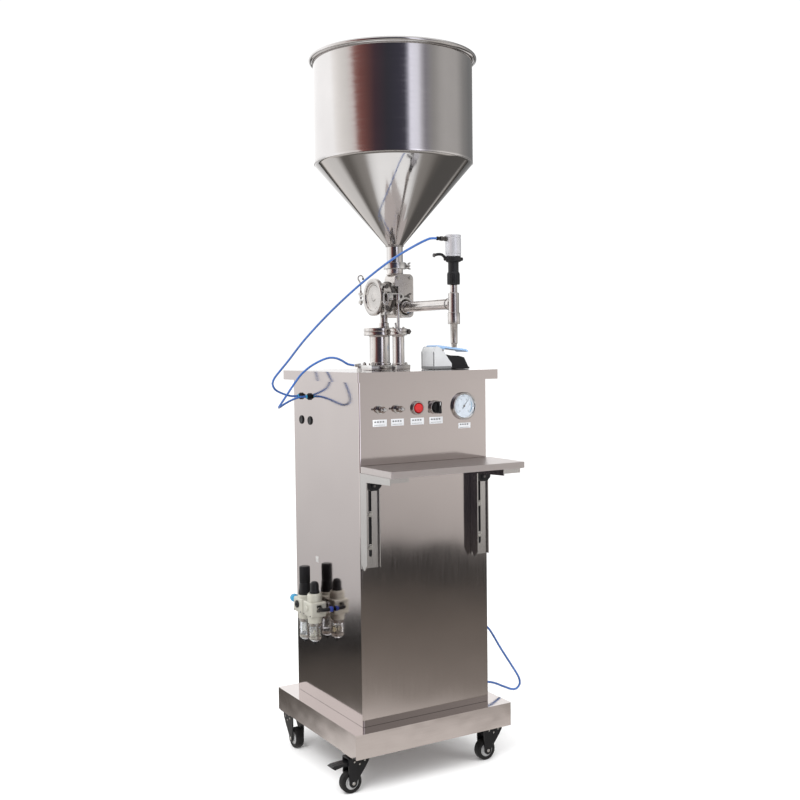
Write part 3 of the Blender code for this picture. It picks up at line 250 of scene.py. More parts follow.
def pin(length, radius, inset=0.0004, drop=0.0008, foot=0.0):
    """Profile of a round pin or collar with a chamfered end."""
    return [(0, length), (radius - inset, length), (radius, length - drop), (radius, foot), (0, foot)]


def finish_piece(obj, material, body="machine", replaced=None):
    """Links a new object, gives it its finish, and makes it ride and stand for its CAD node."""
    SCENE.collection.objects.link(obj)
    for name in ([material] if isinstance(material, str) else material):
        obj.data.materials.append(MATERIALS[name])
    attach(obj, body)
    if replaced:
        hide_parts(replaced)
    return obj


def piece(name, bm, material, body="machine", at=(0, 0, 0), turn=UPWARD, replaced=None, angle=32):
    """Makes a bmesh a piece; its place is given in the row frame."""
    bmesh.ops.remove_doubles(bm, verts=bm.verts, dist=0.000005)
    bmesh.ops.recalc_face_normals(bm, faces=bm.faces)
    mesh = bpy.data.meshes.new(name)
    bm.to_mesh(mesh)
    bm.free()
    mesh.shade_smooth()
    mesh.set_sharp_from_angle(angle=math.radians(angle))
    obj = bpy.data.objects.new(name, mesh)
    obj.location = at
    obj.rotation_euler = turn
    return finish_piece(obj, material, body, replaced)


def skin_into(bm, rings, steps):
    """Adds the faces between rings of vertices, where a ring of one vertex is a pole."""
    for upper, lower in zip(rings[:-1], rings[1:]):
        for k in range(steps):
            corners = [upper[k % len(upper)], upper[(k + 1) % len(upper)], lower[(k + 1) % len(lower)],
                    lower[k % len(lower)]]
            corners = list(dict.fromkeys(corners))
            if len(corners) > 2:
                bm.faces.new(corners)
    return bm


def spin_into(bm, profile, steps=64, matrix=Matrix.Identity(4)):
    """Adds the surface swept by a profile of (radius, height) points about Z."""
    closed = profile[0][0] > 1e-6
    rings = []
    for radius, height in profile:
        if radius < 1e-6:
            rings.append([bm.verts.new(matrix @ Vector((0, 0, height)))])
            continue
        rings.append([bm.verts.new(matrix @ Vector((radius * math.cos(math.tau * k / steps),
                radius * math.sin(math.tau * k / steps), height))) for k in range(steps)])
    if closed:
        rings.append(rings[0])
    return skin_into(bm, rings, steps)


def rounded(profile, radius=0.0006, count=2):
    """Rounds the corners of a profile that turn sharply."""
    points = [Vector(point) for point in profile]
    last = len(points) - 1
    result = []
    for index, point in enumerate(points):
        if index in (0, last) and profile[0][0] <= 1e-6:
            result.append(point)
            continue
        before, after = points[index - 1], points[(index + 1) % len(points)]
        to_before, to_after = before - point, after - point
        reach = min(radius, 0.4 * to_before.length, 0.4 * to_after.length)
        if reach < 1e-6 or to_before.angle(to_after) > math.radians(160):
            result.append(point)
            continue
        start = point + to_before.normalized() * reach
        stop = point + to_after.normalized() * reach
        for step in range(count + 1):
            t = step / count
            result.append(start * (1 - t) ** 2 + point * 2 * t * (1 - t) + stop * t ** 2)
    return [(point.x, point.y) for point in result]


def turned(name, profile, at, turn=UPWARD, material="turned", body="machine", replaced=None, steps=64,
        soften=0.0006):
    profile = rounded(profile, soften) if soften else profile
    return piece(name, spin_into(bmesh.new(), profile, steps), material, body, at, turn, replaced)


def block_into(bm, low, high, matrix=Matrix.Identity(4)):
    low, high = Vector(low), Vector(high)
    made = bmesh.ops.create_cube(bm, size=1.0)["verts"]
    bmesh.ops.scale(bm, vec=high - low, verts=made)
    bmesh.ops.translate(bm, vec=(low + high) / 2, verts=made)
    bmesh.ops.transform(bm, matrix=matrix, verts=made)
    return made


def soften_edges(bm, width, segments=2, limit=40):
    sharp = [edge for edge in bm.edges if len(edge.link_faces) == 2
            and edge.calc_face_angle(0) > math.radians(limit)]
    bmesh.ops.bevel(bm, geom=sharp, offset=width, segments=segments, profile=0.5, affect="EDGES",
            clamp_overlap=True)


def block(name, low, high, material, body="machine", at=(0, 0, 0), turn=UPWARD, replaced=None, bevel=0.0008,
        segments=2):
    bm = bmesh.new()
    block_into(bm, low, high)
    if bevel:
        soften_edges(bm, bevel, segments)
    return piece(name, bm, material, body, at, turn, replaced)


def sheet_into(bm, points, thickness, matrix=Matrix.Identity(4)):
    """Adds a flat outline in local XY, centred on its thickness along local Z."""
    lower = [bm.verts.new(matrix @ Vector((x, y, -thickness / 2))) for x, y in points]
    upper = [bm.verts.new(matrix @ Vector((x, y, thickness / 2))) for x, y in points]
    bm.faces.new(lower[::-1])
    bm.faces.new(upper)
    for index in range(len(points)):
        after = (index + 1) % len(points)
        bm.faces.new((lower[index], lower[after], upper[after], upper[index]))


def plate(name, points, thickness, material, at, turn=FORWARD, body="machine", replaced=None, bevel=0.001,
        segments=3, limit=30):
    """A flat outline with thickness, its sharp edges softened."""
    bm = bmesh.new()
    sheet_into(bm, points, thickness)
    soften_edges(bm, bevel, segments, limit)
    return piece(name, bm, material, body, at, turn, replaced)


def blocks(name, boxes, material, bevel, segments=2, body="machine", at=(0, 0, 0), turns=None):
    """Several boxes in one piece, each given by its two corners, and turned if turns are given."""
    bm = bmesh.new()
    for index, (low, high) in enumerate(boxes):
        block_into(bm, low, high, turns[index] if turns else Matrix.Identity(4))
    soften_edges(bm, bevel, segments)
    return piece(name, bm, material, body, at)


def arc(middle, radius, start, stop, count):
    """Points on an arc, angles in degrees."""
    return [(middle[0] + radius * math.cos(math.radians(start + (stop - start) * k / count)),
            middle[1] + radius * math.sin(math.radians(start + (stop - start) * k / count)))
            for k in range(count + 1)]


def facing(at, turn=UPWARD):
    """A matrix that places local geometry at a point, turned."""
    spin = Matrix.Rotation(turn[2], 4, "Z") @ Matrix.Rotation(turn[1], 4, "Y")
    return Matrix.Translation(Vector(at)) @ spin @ Matrix.Rotation(turn[0], 4, "X")


def hex_into(bm, across, height, matrix):
    """A hexagon nut on local +Z."""
    radius = across / math.sqrt(3)
    sheet_into(bm, [(radius * math.cos(math.tau * k / 6), radius * math.sin(math.tau * k / 6))
            for k in range(6)], height, matrix @ Matrix.Translation((0, 0, height / 2)))


def bolt_into(bm, across, height, matrix, shank=0.0):
    """A hexagon bolt head on a washer, with the end of its thread on top."""
    spin_into(bm, [(0, 0.0008), (across * 0.72, 0.0008), (across * 0.72, 0), (0, 0)], 20, matrix)
    hex_into(bm, across, height, matrix @ Matrix.Translation((0, 0, 0.0008)))
    if shank:
        spin_into(bm, [(0, height + shank), (across * 0.27, height + shank), (across * 0.3, height),
                (across * 0.3, 0.0008), (0, 0.0008)], 14, matrix)


def bolts(name, places, across, height, turn=UPWARD, shank=0.0):
    bm = bmesh.new()
    for place in places:
        bolt_into(bm, across, height, facing(place, turn), shank)
    return piece(name, bm, "zinc")


def screw_heads(name, places, radius, turn, body="machine", material="zinc"):
    """Pan-head screws with a cross recess."""
    bm = bmesh.new()
    dome = [(0, radius * 0.62), (radius * 0.45, radius * 0.6), (radius * 0.8, radius * 0.45),
            (radius, radius * 0.15), (radius, 0), (0, 0)]
    for place in places:
        matrix = facing(place, turn)
        spin_into(bm, dome, 20, matrix)
        for spin in (0, 90):
            groove = matrix @ Matrix.Rotation(math.radians(45 + spin), 4, "Z")
            block_into(bm, (-radius * 0.5, -radius * 0.1, radius * 0.55),
                    (radius * 0.5, radius * 0.1, radius * 0.64), groove)
    return piece(name, bm, material, body)


def smooth_route(route, spacing):
    """Points a given distance apart on the Catmull-Rom curve through the route."""
    points = [Vector(point) for point in route]
    ends = [2 * points[0] - points[1]] + points + [2 * points[-1] - points[-2]]
    dense, fine = [], 24
    for index in range(1, len(ends) - 2):
        before, here, there, beyond = ends[index - 1:index + 3]
        for step in range(fine):
            t = step / fine
            dense.append(0.5 * (2 * here + (there - before) * t
                    + (2 * before - 5 * here + 4 * there - beyond) * t ** 2
                    + (3 * here - before - 3 * there + beyond) * t ** 3))
    dense.append(points[-1])
    total = sum((b - a).length for a, b in zip(dense[:-1], dense[1:]))
    count = max(2, round(total / spacing))
    result, walked, target = [dense[0]], 0.0, total / count
    for a, b in zip(dense[:-1], dense[1:]):
        length = (b - a).length
        while walked + length >= target and len(result) < count:
            result.append(a.lerp(b, (target - walked) / length))
            target += total / count
        walked += length
    result.append(dense[-1])
    return result


def curve_piece(name, points, radius, material, body="machine", replaced=None):
    curve = bpy.data.curves.new(name, "CURVE")
    curve.dimensions = "3D"
    curve.bevel_depth = radius
    curve.bevel_resolution = 4
    curve.use_fill_caps = True
    spline = curve.splines.new("POLY")
    spline.points.add(len(points) - 1)
    for target, point in zip(spline.points, points):
        target.co = (*point, 1.0)
    spline.use_smooth = True
    obj = bpy.data.objects.new(name, curve)
    return finish_piece(obj, material, body, replaced)


# ---------------------------------------------------------------- air hoses
HOSE_R = 0.0025
PORT_Y, PORT_Z, BLANK_Z = dict(rear=0.12, front=0.0755), 0.846, 0.7905
LOOP_Y, LOOP_Z = -0.12, dict(upper=0.302, lower=0.168)
NOZZLE_ROUTE = [(-0.0259, -0.2548, 1.185), (-0.042, -0.253, 1.1835), (-0.062, -0.225, 1.17),
        (-0.083, -0.17, 1.146), (-0.108, -0.115, 1.1125), (-0.137, -0.062, 1.0715), (-0.165, -0.004, 1.024),
        (-0.19, 0.05, 0.975), (-0.2115, 0.091, 0.9285), (-0.235, 0.115, 0.89), (-0.2385, 0.1195, 0.875),
        (-0.23, 0.1205, 0.861), (-0.214, 0.1205, 0.8535), (-0.195, 0.12, 0.847), (-0.1762, 0.12, 0.846)]
PLATE_ROUTE = [(-0.1762, 0.0755, 0.846), (-0.193, 0.0755, 0.845), (-0.213, 0.0746, 0.839),
        (-0.2325, 0.0735, 0.83), (-0.249, 0.0636, 0.8235), (-0.253, 0.0463, 0.831),
        (-0.2475, 0.0349, 0.8457), (-0.2382, 0.028, 0.8627), (-0.2262, 0.0219, 0.8822),
        (-0.214, 0.0159, 0.8995), (-0.1988, 0.0076, 0.9145), (-0.1835, -0.0009, 0.9252),
        (-0.1642, -0.0118, 0.9345), (-0.1492, -0.0206, 0.9355), (-0.136, -0.032, 0.929),
        (-0.126, -0.043, 0.9205), (-0.113, -0.046, 0.9182)]
SIDE_ROUTE = [(0.1762, -0.12, 0.302), (0.19, -0.12, 0.3), (0.204, -0.12, 0.284), (0.2314, -0.12, 0.241),
        (0.2631, -0.12, 0.1948), (0.284, -0.12, 0.162), (0.285, -0.12, 0.144), (0.269, -0.12, 0.1365),
        (0.2424, -0.12, 0.147), (0.218, -0.12, 0.159), (0.196, -0.12, 0.167), (0.1762, -0.12, 0.168)]
HOSES = dict(hose_nozzle=NOZZLE_ROUTE, hose_plate=PLATE_ROUTE, hose_side=SIDE_ROUTE)


def make_hoses():
    for node, route in HOSES.items():
        points = [spot(*point) for point in smooth_route(route, 6 * HOSE_R)]
        fine = smooth_route(points, 3 * HOSE_R)
        hose = curve_piece("air_" + node, fine, HOSE_R, "hose", replaced=node)
        length = sum((b - a).length for a, b in zip(fine[:-1], fine[1:]))
        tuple(fine[0])



def paint(material, *nodes):
    """Gives a CAD node that stays in view its finish."""
    for name in nodes:
        slots = NODES[name].data.materials
        slots.clear()
        slots.append(MATERIALS[material])


def two_tone(obj, limit, axis=2, below=1):
    """Faces whose middle lies under the limit (local axis) take the second material."""
    for face in obj.data.polygons:
        if face.center[axis] < limit:
            face.material_index = below


# ---------------------------------------------------------------- cabinet, plinth, plates
CASTER_X, CASTER_Y = 0.1765, dict(front=-0.15, rear=0.17)


def make_cabinet():
    paint("panel", "cabinet_shell", "back_panel")
    paint("plate", "top_plate")
    paint("shelf", "shelf")
    paint("plinth", "plinth")
    paint("bracket", "bracket_left", "bracket_right")
    low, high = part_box("back_panel")
    inset = 0.012
    columns = [low.x + inset, (low.x + high.x) / 2, high.x - inset]
    rows = [low.z + inset + k * (high.z - low.z - 2 * inset) / 4 for k in range(5)]
    places = [(x, high.y, z) for x in (columns[0], columns[2]) for z in rows]
    places += [(columns[1], high.y, z) for z in (rows[0], rows[-1])]
    screw_heads("back_panel_screws", places, 0.0036, BACKWARD)
    louvres = bmesh.new()
    hood = mm((0, 0), (0, 10.5), (1, 10.5), (4.2, 1.8), (4.2, 0))
    louvre_low, louvre_step, louvre_width = 0.27, 0.021, 0.12
    for k in range(6):
        matrix = Matrix.Translation((MIDDLE.x, high.y + 0.00005, louvre_low + louvre_step * k))
        matrix @= Matrix.Rotation(math.pi / 2, 4, "Z") @ Matrix.Rotation(math.pi / 2, 4, "X")
        sheet_into(louvres, hood, louvre_width, matrix)
    soften_edges(louvres, 0.0008, 2)
    piece("back_panel_louvres", louvres, "panel")
    for name, y in PORT_Y.items():
        turned(f"blanking_plug_{name}", mm((0, 2.2), (6.2, 2.2), (7.5, 3.4), (9.6, 2.6), (10.4, 0.3),
                (0, 0.3)), spot(-SIDE, y, BLANK_Z), LEFTWARD, "black", steps=40)
    # bolts that hold the casters' plates, on a square round each swivel
    reach, plate_z = 0.0178, 0.0826
    places = [spot(x * CASTER_X + dx * reach, y + dy * reach, plate_z) for x in (-1, 1)
            for y in CASTER_Y.values() for dx in (-1, 1) for dy in (-1, 1)]
    bolts("caster_plate_bolts", places, 0.0055, 0.0016, (math.pi, 0, 0))


# ---------------------------------------------------------------- hopper
HOPPER_AT = centre("hopper")
HOPPER_AT.z = 0.0
HOPPER_R, WALL, RIM_R = 0.1825, 0.0016, 0.0058
RIM_Z, JOINT_Z, NECK_Z, FERRULE_Z, NECK_R = 1.6117, 1.377, 1.19, 1.1452, 0.019


def make_hopper():
    bead = arc((HOPPER_R + RIM_R - WALL, RIM_Z), RIM_R, 150, -150, 20)
    cone_low = NECK_R + 0.002
    top, foot = (HOPPER_R - 0.0016, JOINT_Z - 0.0022), (cone_low, NECK_Z + 0.002)
    near_top = tuple(a + (b - a) * 0.012 for a, b in zip(top, foot))
    near_foot = tuple(a + (b - a) * 0.988 for a, b in zip(top, foot))
    outer = [(HOPPER_R, RIM_Z - 0.0052), (HOPPER_R, RIM_Z - 0.007), (HOPPER_R, JOINT_Z + 0.006),
            (HOPPER_R, JOINT_Z + 0.004), (HOPPER_R - 0.0004, JOINT_Z + 0.0008), top, near_top, near_foot,
            foot, (NECK_R, NECK_Z - 0.002), (NECK_R, NECK_Z - 0.0036), (NECK_R, FERRULE_Z + 0.0066),
            (NECK_R, FERRULE_Z + 0.0048), (0.022, FERRULE_Z + 0.0024), (0.0228, FERRULE_Z + 0.0016),
            (0.0228, FERRULE_Z)]
    inner = [(NECK_R - WALL, FERRULE_Z), (NECK_R - WALL, NECK_Z - 0.0015),
            (cone_low - WALL, NECK_Z + 0.003), (HOPPER_R - 0.0012 - WALL, JOINT_Z - 0.001),
            (HOPPER_R - WALL, JOINT_Z + 0.0045)]
    bm = spin_into(bmesh.new(), bead + outer + inner, 144)
    hopper = piece("hopper_shell", bm, ("hopper", "hopper_cone"), "machine", HOPPER_AT, replaced="hopper",
            angle=25)
    two_tone(hopper, JOINT_Z + 0.0004)
    for name, z, radius, size in (("joint", JOINT_Z, HOPPER_R - 0.0006, 0.0009),
            ("neck", NECK_Z, cone_low - 0.0006, 0.001)):
        ring = spin_into(bmesh.new(), arc((radius, z), size, 0, 315, 7), 144)
        for vert in ring.verts:
            angle = math.atan2(vert.co.y, vert.co.x)
            vert.co.z += 0.00012 * math.sin(angle * 190)
        piece(f"hopper_weld_{name}", ring, "seam", "machine", HOPPER_AT)
    # longitudinal weld of the rolled cylinder, at the back
    count, length = 120, RIM_Z - JOINT_Z - 0.02
    beads = [((HOPPER_R - 0.001, -0.0014, z), (HOPPER_R + 0.0002 + 0.0001 * (k % 2), 0.0014, z + 0.0016))
            for k, z in ((k, JOINT_Z + 0.008 + k * length / count) for k in range(count))]
    blocks("hopper_weld_long", beads, "seam", 0.0003, 1, at=HOPPER_AT,
            turns=[Matrix.Rotation(math.radians(62), 4, "Z")] * count)


def clamp_ring(name, at, turn, inner, outer, half, replaced=None, material="bright", body="machine",
        steps=72):
    """A sanitary clamp: rounded outer band with lips over both flanges."""
    crown = (outer - inner) * 0.3
    profile = [(outer - crown, half)] + arc((outer - crown, half - crown * 0.6), crown, 70, 0, 4)
    profile += arc((outer - crown, -half + crown * 0.6), crown, 0, -70, 4) + [(outer - crown, -half)]
    profile += [(inner, -half), (inner, -half + 0.0018), (inner + 0.0034, -0.003), (inner + 0.0034, 0.003),
            (inner, half - 0.0018), (inner, half)]
    return turned(name, profile, at, turn, material, body, replaced, steps, 0.0004)


def wing_nut_into(bm, matrix, span=0.013, hub=0.005):
    """Two wings on a tapered hub, on local +Z."""
    spin_into(bm, [(0, 0.0075), (hub * 0.72, 0.0075), (hub, 0.0012), (hub, 0), (0, 0)], 24, matrix)
    for sign in (-1, 1):
        outline = [(hub * 0.5, 0.0012), (span * 0.62, 0.003), (span, 0.0085), (span * 0.96, 0.0122),
                (span * 0.8, 0.0132), (span * 0.62, 0.0115), (hub * 0.85, 0.0055), (hub * 0.5, 0.006)]
        flat = [(sign * x, z) for x, z in outline]
        sheet_into(bm, flat, 0.0028, matrix @ Matrix.Rotation(math.pi / 2, 4, "X"))


def make_hopper_clamp():
    z = FERRULE_Z - 0.0002
    at = Vector((HOPPER_AT.x, HOPPER_AT.y, z))
    clamp_ring("hopper_clamp_ring", at, UPWARD, NECK_R + 0.0007, 0.0262, 0.0072, "hopper_clamp", "bright")
    bm = bmesh.new()
    for sign in (-1, 1):
        block_into(bm, (0.0235, sign * 0.0036 - 0.002, -0.0062), (0.0335, sign * 0.0036 + 0.002, 0.0062))
    soften_edges(bm, 0.0009, 2)
    spin_into(bm, pin(0.03, 0.0026, drop=0.001), 20, Matrix.Translation((0.0295, 0.012, 0))
            @ Matrix.Rotation(math.pi / 2, 4, "X"))
    wing_nut_into(bm, Matrix.Translation((0.03, -0.0066, 0)) @ Matrix.Rotation(math.pi / 2, 4, "X")
            @ Matrix.Rotation(math.pi / 2, 4, "Z"), 0.0085, 0.0046)
    piece("hopper_clamp_screw", bm, "bright", "machine", at)


# ---------------------------------------------------------------- rotary valve
BOSS_Y, BOSS_Z, BOSS_R = -0.024, 1.072, 0.033
BOSS_X = (-0.0455, -0.009)
BLOCK = ((0.001, -0.036, 1.0257), (0.051, 0.012, 1.1257))
AXIS_X, HOPPER_Y, NOZZLE_Y = 0.0167, -0.01, -0.2548
STEM = (-0.018, -0.016, 0.0088)
METER, METER_R = (-0.0261, -0.01), 0.0235
ACTUATOR = (-0.0125, -0.072)
CRANK = (-0.03, -0.0605, BOSS_Z)
OUTLET_Z, PIPE_R = 1.0485, 0.0114
PLATE_Z = 0.9053
GAP = 0.0004


def make_valve():
    low, high = Vector(BLOCK[0]), Vector(BLOCK[1])
    bm = bmesh.new()
    block_into(bm, low, high)
    along = [edge for edge in bm.edges if abs(edge.verts[0].co.y - edge.verts[1].co.y) > 0.001]
    bmesh.ops.bevel(bm, geom=along, offset=0.011, segments=8, profile=0.5, affect="EDGES")
    soften_edges(bm, 0.0014, 3, 50)
    piece("valve_housing", bm, "polished_cast", "machine", spot(0, 0, 0), replaced="valve_body")
    length = BOSS_X[1] - BOSS_X[0]
    boss = [(0, length + 0.004), (BOSS_R - 0.003, length + 0.004), (BOSS_R, length), (BOSS_R, 0.0028),
            (BOSS_R - 0.0006, 0), (0.025, 0), (0.025, 0.002), (0, 0.002)]
    turned("valve_chamber", boss, spot(BOSS_X[0], BOSS_Y, BOSS_Z), RIGHTWARD, "polished_cast", steps=96)
    block("valve_bridge", spot(BOSS_X[1] - 0.003, BLOCK[0][1], BOSS_Z - 0.024),
            spot(BLOCK[0][0] + 0.012, 0.008, BOSS_Z + 0.028), "polished_cast", bevel=0.003, segments=3)
    ferrule = FERRULE_Z - 0.0004
    neck = [(0, ferrule), (0.0226, ferrule), (0.0228, ferrule - 0.0016), (0.022, ferrule - 0.0024),
            (NECK_R, ferrule - 0.0048), (NECK_R, high.z + 0.002), (NECK_R + 0.0025, high.z - 0.001),
            (0, high.z - 0.001)]
    turned("valve_neck", neck, spot(AXIS_X, HOPPER_Y, 0), material="turned")
    stem_low = 1.0026
    stem = [(0, BOSS_Z - 0.028), (STEM[2], BOSS_Z - 0.028), (STEM[2], stem_low + 0.012),
            (0.0115, stem_low + 0.0105), (0.0115, stem_low + 0.003), (0.0125, stem_low + 0.002),
            (0.0125, stem_low), (0, stem_low)]
    turned("valve_stem", stem, spot(STEM[0], STEM[1], 0), material="turned")
    turned("crank_bearing", pin(0.03, 0.011, 0.0008, 0.0012), spot(CRANK[0], CRANK[1] + 0.03, BOSS_Z),
            FORWARD, "dark")
    turned("outlet_stub", pin(0.015, 0.015, drop=0.0012), spot(AXIS_X, BLOCK[0][1] + 0.008, OUTLET_Z),
            FORWARD, "turned")
    make_end_clamp()
    make_rotor()
    make_valve_fittings()


def make_end_clamp():
    """Blind cap held by a two-piece clamp, whose closing bolt stands behind the cap."""
    x = BOSS_X[0] - GAP
    cap = [(0, 0.0032), (0.008, 0.003), (0.01, 0.0022), (0.0265, 0.002), (0.0285, 0.0034), (0.0312, 0.0036),
            (0.0325, 0.0066), (0.0345, 0.0072), (0.0405, 0.007), (0.0425, 0.0052), (0.0425, -0.0024),
            (BOSS_R + 0.0008, -0.0026), (BOSS_R + 0.0006, 0), (0, 0)]
    turned("valve_end_cap", cap, spot(x, BOSS_Y, BOSS_Z), LEFTWARD, "cap", replaced="valve_end_clamp",
            steps=96)
    bolt_x, bolt_y = x - 0.0035, BOSS_Y + 0.059
    bm = bmesh.new()
    for sign in (-1, 1):
        block_into(bm, spot(x - 0.0062, BOSS_Y + 0.0385, BOSS_Z + sign * 0.0045 - 0.0022),
                spot(x - 0.0006, bolt_y + 0.0038, BOSS_Z + sign * 0.0045 + 0.0022))
    soften_edges(bm, 0.0008, 2)
    for z, side in ((BOSS_Z - 0.007, math.pi), (BOSS_Z + 0.007, 0)):
        hex_into(bm, 0.0105, 0.0056, facing(spot(bolt_x, bolt_y, z), (side, 0, 0)))
    spin_into(bm, pin(0.034, 0.0026), 16, facing(spot(bolt_x, bolt_y, BOSS_Z - 0.016)))
    piece("end_clamp_bolt", bm, "bright")
    # hinge of the two clamp halves, in front of the cap
    bm = bmesh.new()
    spin_into(bm, mm((0, 11), (2.6, 10.8), (2.6, -10.8), (0, -11)), 16,
            facing(spot(x - 0.0034, BOSS_Y - 0.0425, BOSS_Z)))
    piece("end_clamp_hinge", bm, "dark")


def make_rotor():
    """Shaft and slotted lever of the plug, on the axis that points to the front."""
    at = spot(*CRANK)
    hub = mm((0, 9.2), (4, 9.5), (4.6, 8.8), (6.8, 8.8), (7.5, 8), (7.5, 0.5), (5, 0.5), (5, -12), (0, -12))
    turned("crank_hub", hub, at, FORWARD, "bright", "valve_plug", "valve_rotor")
    count, inner, outer, half, slot = 14, 0.0, 0.0305, 0.008, 0.0046
    edge = arc((inner, 0), half, 90, 270, count) + arc((outer, 0), half * 0.92, -90, 90, count)
    gap = arc((0.0135, 0), slot, 90, 270, count) + arc((0.0285, 0), slot, -90, 90, count)
    bm = bmesh.new()
    thick = 0.0045
    rings = []
    for points in (edge, gap):
        rings.append([[bm.verts.new((x, y, side * thick / 2)) for x, y in points] for side in (-1, 1)])
    total = len(edge)
    for k in range(total):
        after = (k + 1) % total
        for outline, flip in ((rings[0], 1), (rings[1], -1)):
            quad = [outline[0][k], outline[0][after], outline[1][after], outline[1][k]]
            bm.faces.new(quad[::flip])
        for side in (0, 1):
            bm.faces.new([rings[0][side][k], rings[0][side][after], rings[1][side][after],
                    rings[1][side][k]])
    soften_edges(bm, 0.0005, 2, 60)
    piece("crank_lever", bm, "bright", "valve_plug", at + Vector((0, -0.003, 0)), FORWARD)


def make_valve_fittings():
    """Bolts, the end clamp's hook, the chamber's band, the toggle and the small levers."""
    places = [spot(x, BOSS_Y - 0.0225, z) for z in (BOSS_Z - 0.0235, BOSS_Z + 0.0235)
            for x in (-0.0125, -0.0385)]
    bolts("chamber_bolts", places, 0.0075, 0.0038, FORWARD, 0.0022)
    corner = 0.0085
    places = [spot(x, BLOCK[0][1], z) for x in (BLOCK[0][0] + corner, BLOCK[1][0] - corner)
            for z in (BLOCK[0][2] + corner, BLOCK[1][2] - corner)]
    bolts("housing_bolts", places, 0.007, 0.0034, FORWARD, 0.0012)
    base = spot(BOSS_X[0] - GAP - 0.0035, BOSS_Y + 0.059, BOSS_Z + 0.016)
    middle = Vector((0, 0.0, 0.03))
    hook = [base, base + Vector((0, 0, 0.012)), base + Vector((-0.0008, 0, 0.019))]
    hook += [base + middle + Vector((0.0066 * math.cos(turn), 0, 0.0066 * math.sin(turn)))
            for turn in (math.radians(angle) for angle in range(230, -20, -25))]
    curve_piece("end_clamp_hook", smooth_route(hook, 0.0015), 0.0016, "bright")
    turned("end_clamp_hook_tip", mm((0, 4), (2.4, 3.8), (2.6, 0), (0, 0)), hook[-1], material="dark",
            turn=(math.pi, 0, 0), steps=24)
    ring = [(BOSS_R + 0.0024, 0.0085), (BOSS_R + 0.003, 0.007), (BOSS_R + 0.003, 0.0015),
            (BOSS_R + 0.0024, 0), (BOSS_R - 0.0004, 0), (BOSS_R - 0.0004, 0.0085)]
    turned("chamber_band", ring, spot(-0.018, BOSS_Y, BOSS_Z), RIGHTWARD, "dark", steps=72)
    loop = arc((0, 0.0085), 0.0052, 0, 180, 10) + arc((0, -0.0085), 0.0052, 180, 360, 10)
    loop = [spot(-0.044 + a, BOSS_Y - 0.0475, BOSS_Z - 0.006 + b) for a, b in loop]
    curve_piece("toggle_loop", loop + [loop[0]], 0.0017, "bright")
    bm = bmesh.new()
    for z, length in ((BOSS_Z + 0.0225, 0.015), (BOSS_Z - 0.026, 0.017)):
        spin_into(bm, rounded([(0, length), (0.004, length), (0.005, length - 0.0012),
                (0.005, length - 0.0055), (0.0032, length - 0.0062), (0.0032, 0), (0, 0)], 0.0003), 28,
                facing(spot(-0.0405, BOSS_Y - 0.034, z), FORWARD))
    piece("toggle_knobs", bm, "dark")
    low = spot(-0.044, BOSS_Y - 0.044, BOSS_Z - 0.042)
    arms = [(low, spot(-0.03, BOSS_Y - 0.024, BOSS_Z - 0.034)),
            (low, spot(-0.04, BOSS_Y - 0.04, BOSS_Z - 0.01))]
    blocks("toggle_bracket", arms, "cast", 0.0014)
    link = [spot(-0.012, BOSS_Y - 0.029, BOSS_Z + 0.024), spot(-0.004, BOSS_Y - 0.028, BOSS_Z + 0.018),
            spot(0.0015, BOSS_Y - 0.02, BOSS_Z + 0.012)]
    curve_piece("chamber_link", smooth_route(link, 0.002), 0.0026, "dark")
    low = spot(0.0075, -0.0405, OUTLET_Z - 0.022)
    lever = [low + Vector((0, -0.002, 0)), low + Vector((-0.0035, -0.004, -0.012)),
            low + Vector((-0.003, -0.0055, -0.024)), low + Vector((0.001, -0.0065, -0.034))]
    curve_piece("outlet_clamp_lever", smooth_route(lever, 0.002), 0.0017, "bright")


def make_metering():
    x, y = METER
    foot, foot_top, flange, top = PLATE_Z + GAP, 0.917, 0.9846, 1.0022
    flange_r = 0.0365
    profile = [(0, top), (flange_r - 0.001, top), (flange_r, top - 0.001), (flange_r, 0.994),
            (flange_r - 0.0012, 0.9936), (flange_r - 0.0012, 0.9928), (flange_r, 0.9924),
            (flange_r, flange), (METER_R + 0.0012, flange - 0.0005), (METER_R, flange - 0.003),
            (METER_R, foot_top + 0.006), (METER_R + 0.0025, foot_top + 0.0048),
            (METER_R + 0.0025, foot_top), (0, foot_top)]
    turned("metering_barrel", profile, spot(x, y, 0), material="turned_dark", replaced="metering_cylinder",
            steps=96)
    block("metering_foot", spot(x - 0.036, y - 0.026, foot), spot(x + 0.0255, y + 0.026, foot_top),
            "bright", bevel=0.0016, segments=3)
    places = [spot(x - 0.03, y + dy, foot_top) for dy in (-0.0195, 0.0195)]
    bolts("metering_bolts", places, 0.008, 0.0044, shank=0.0026)
    # the piston and its drive stay inside
    paint("bright", "metering_piston")
    paint("alloy", "drive_cylinder")


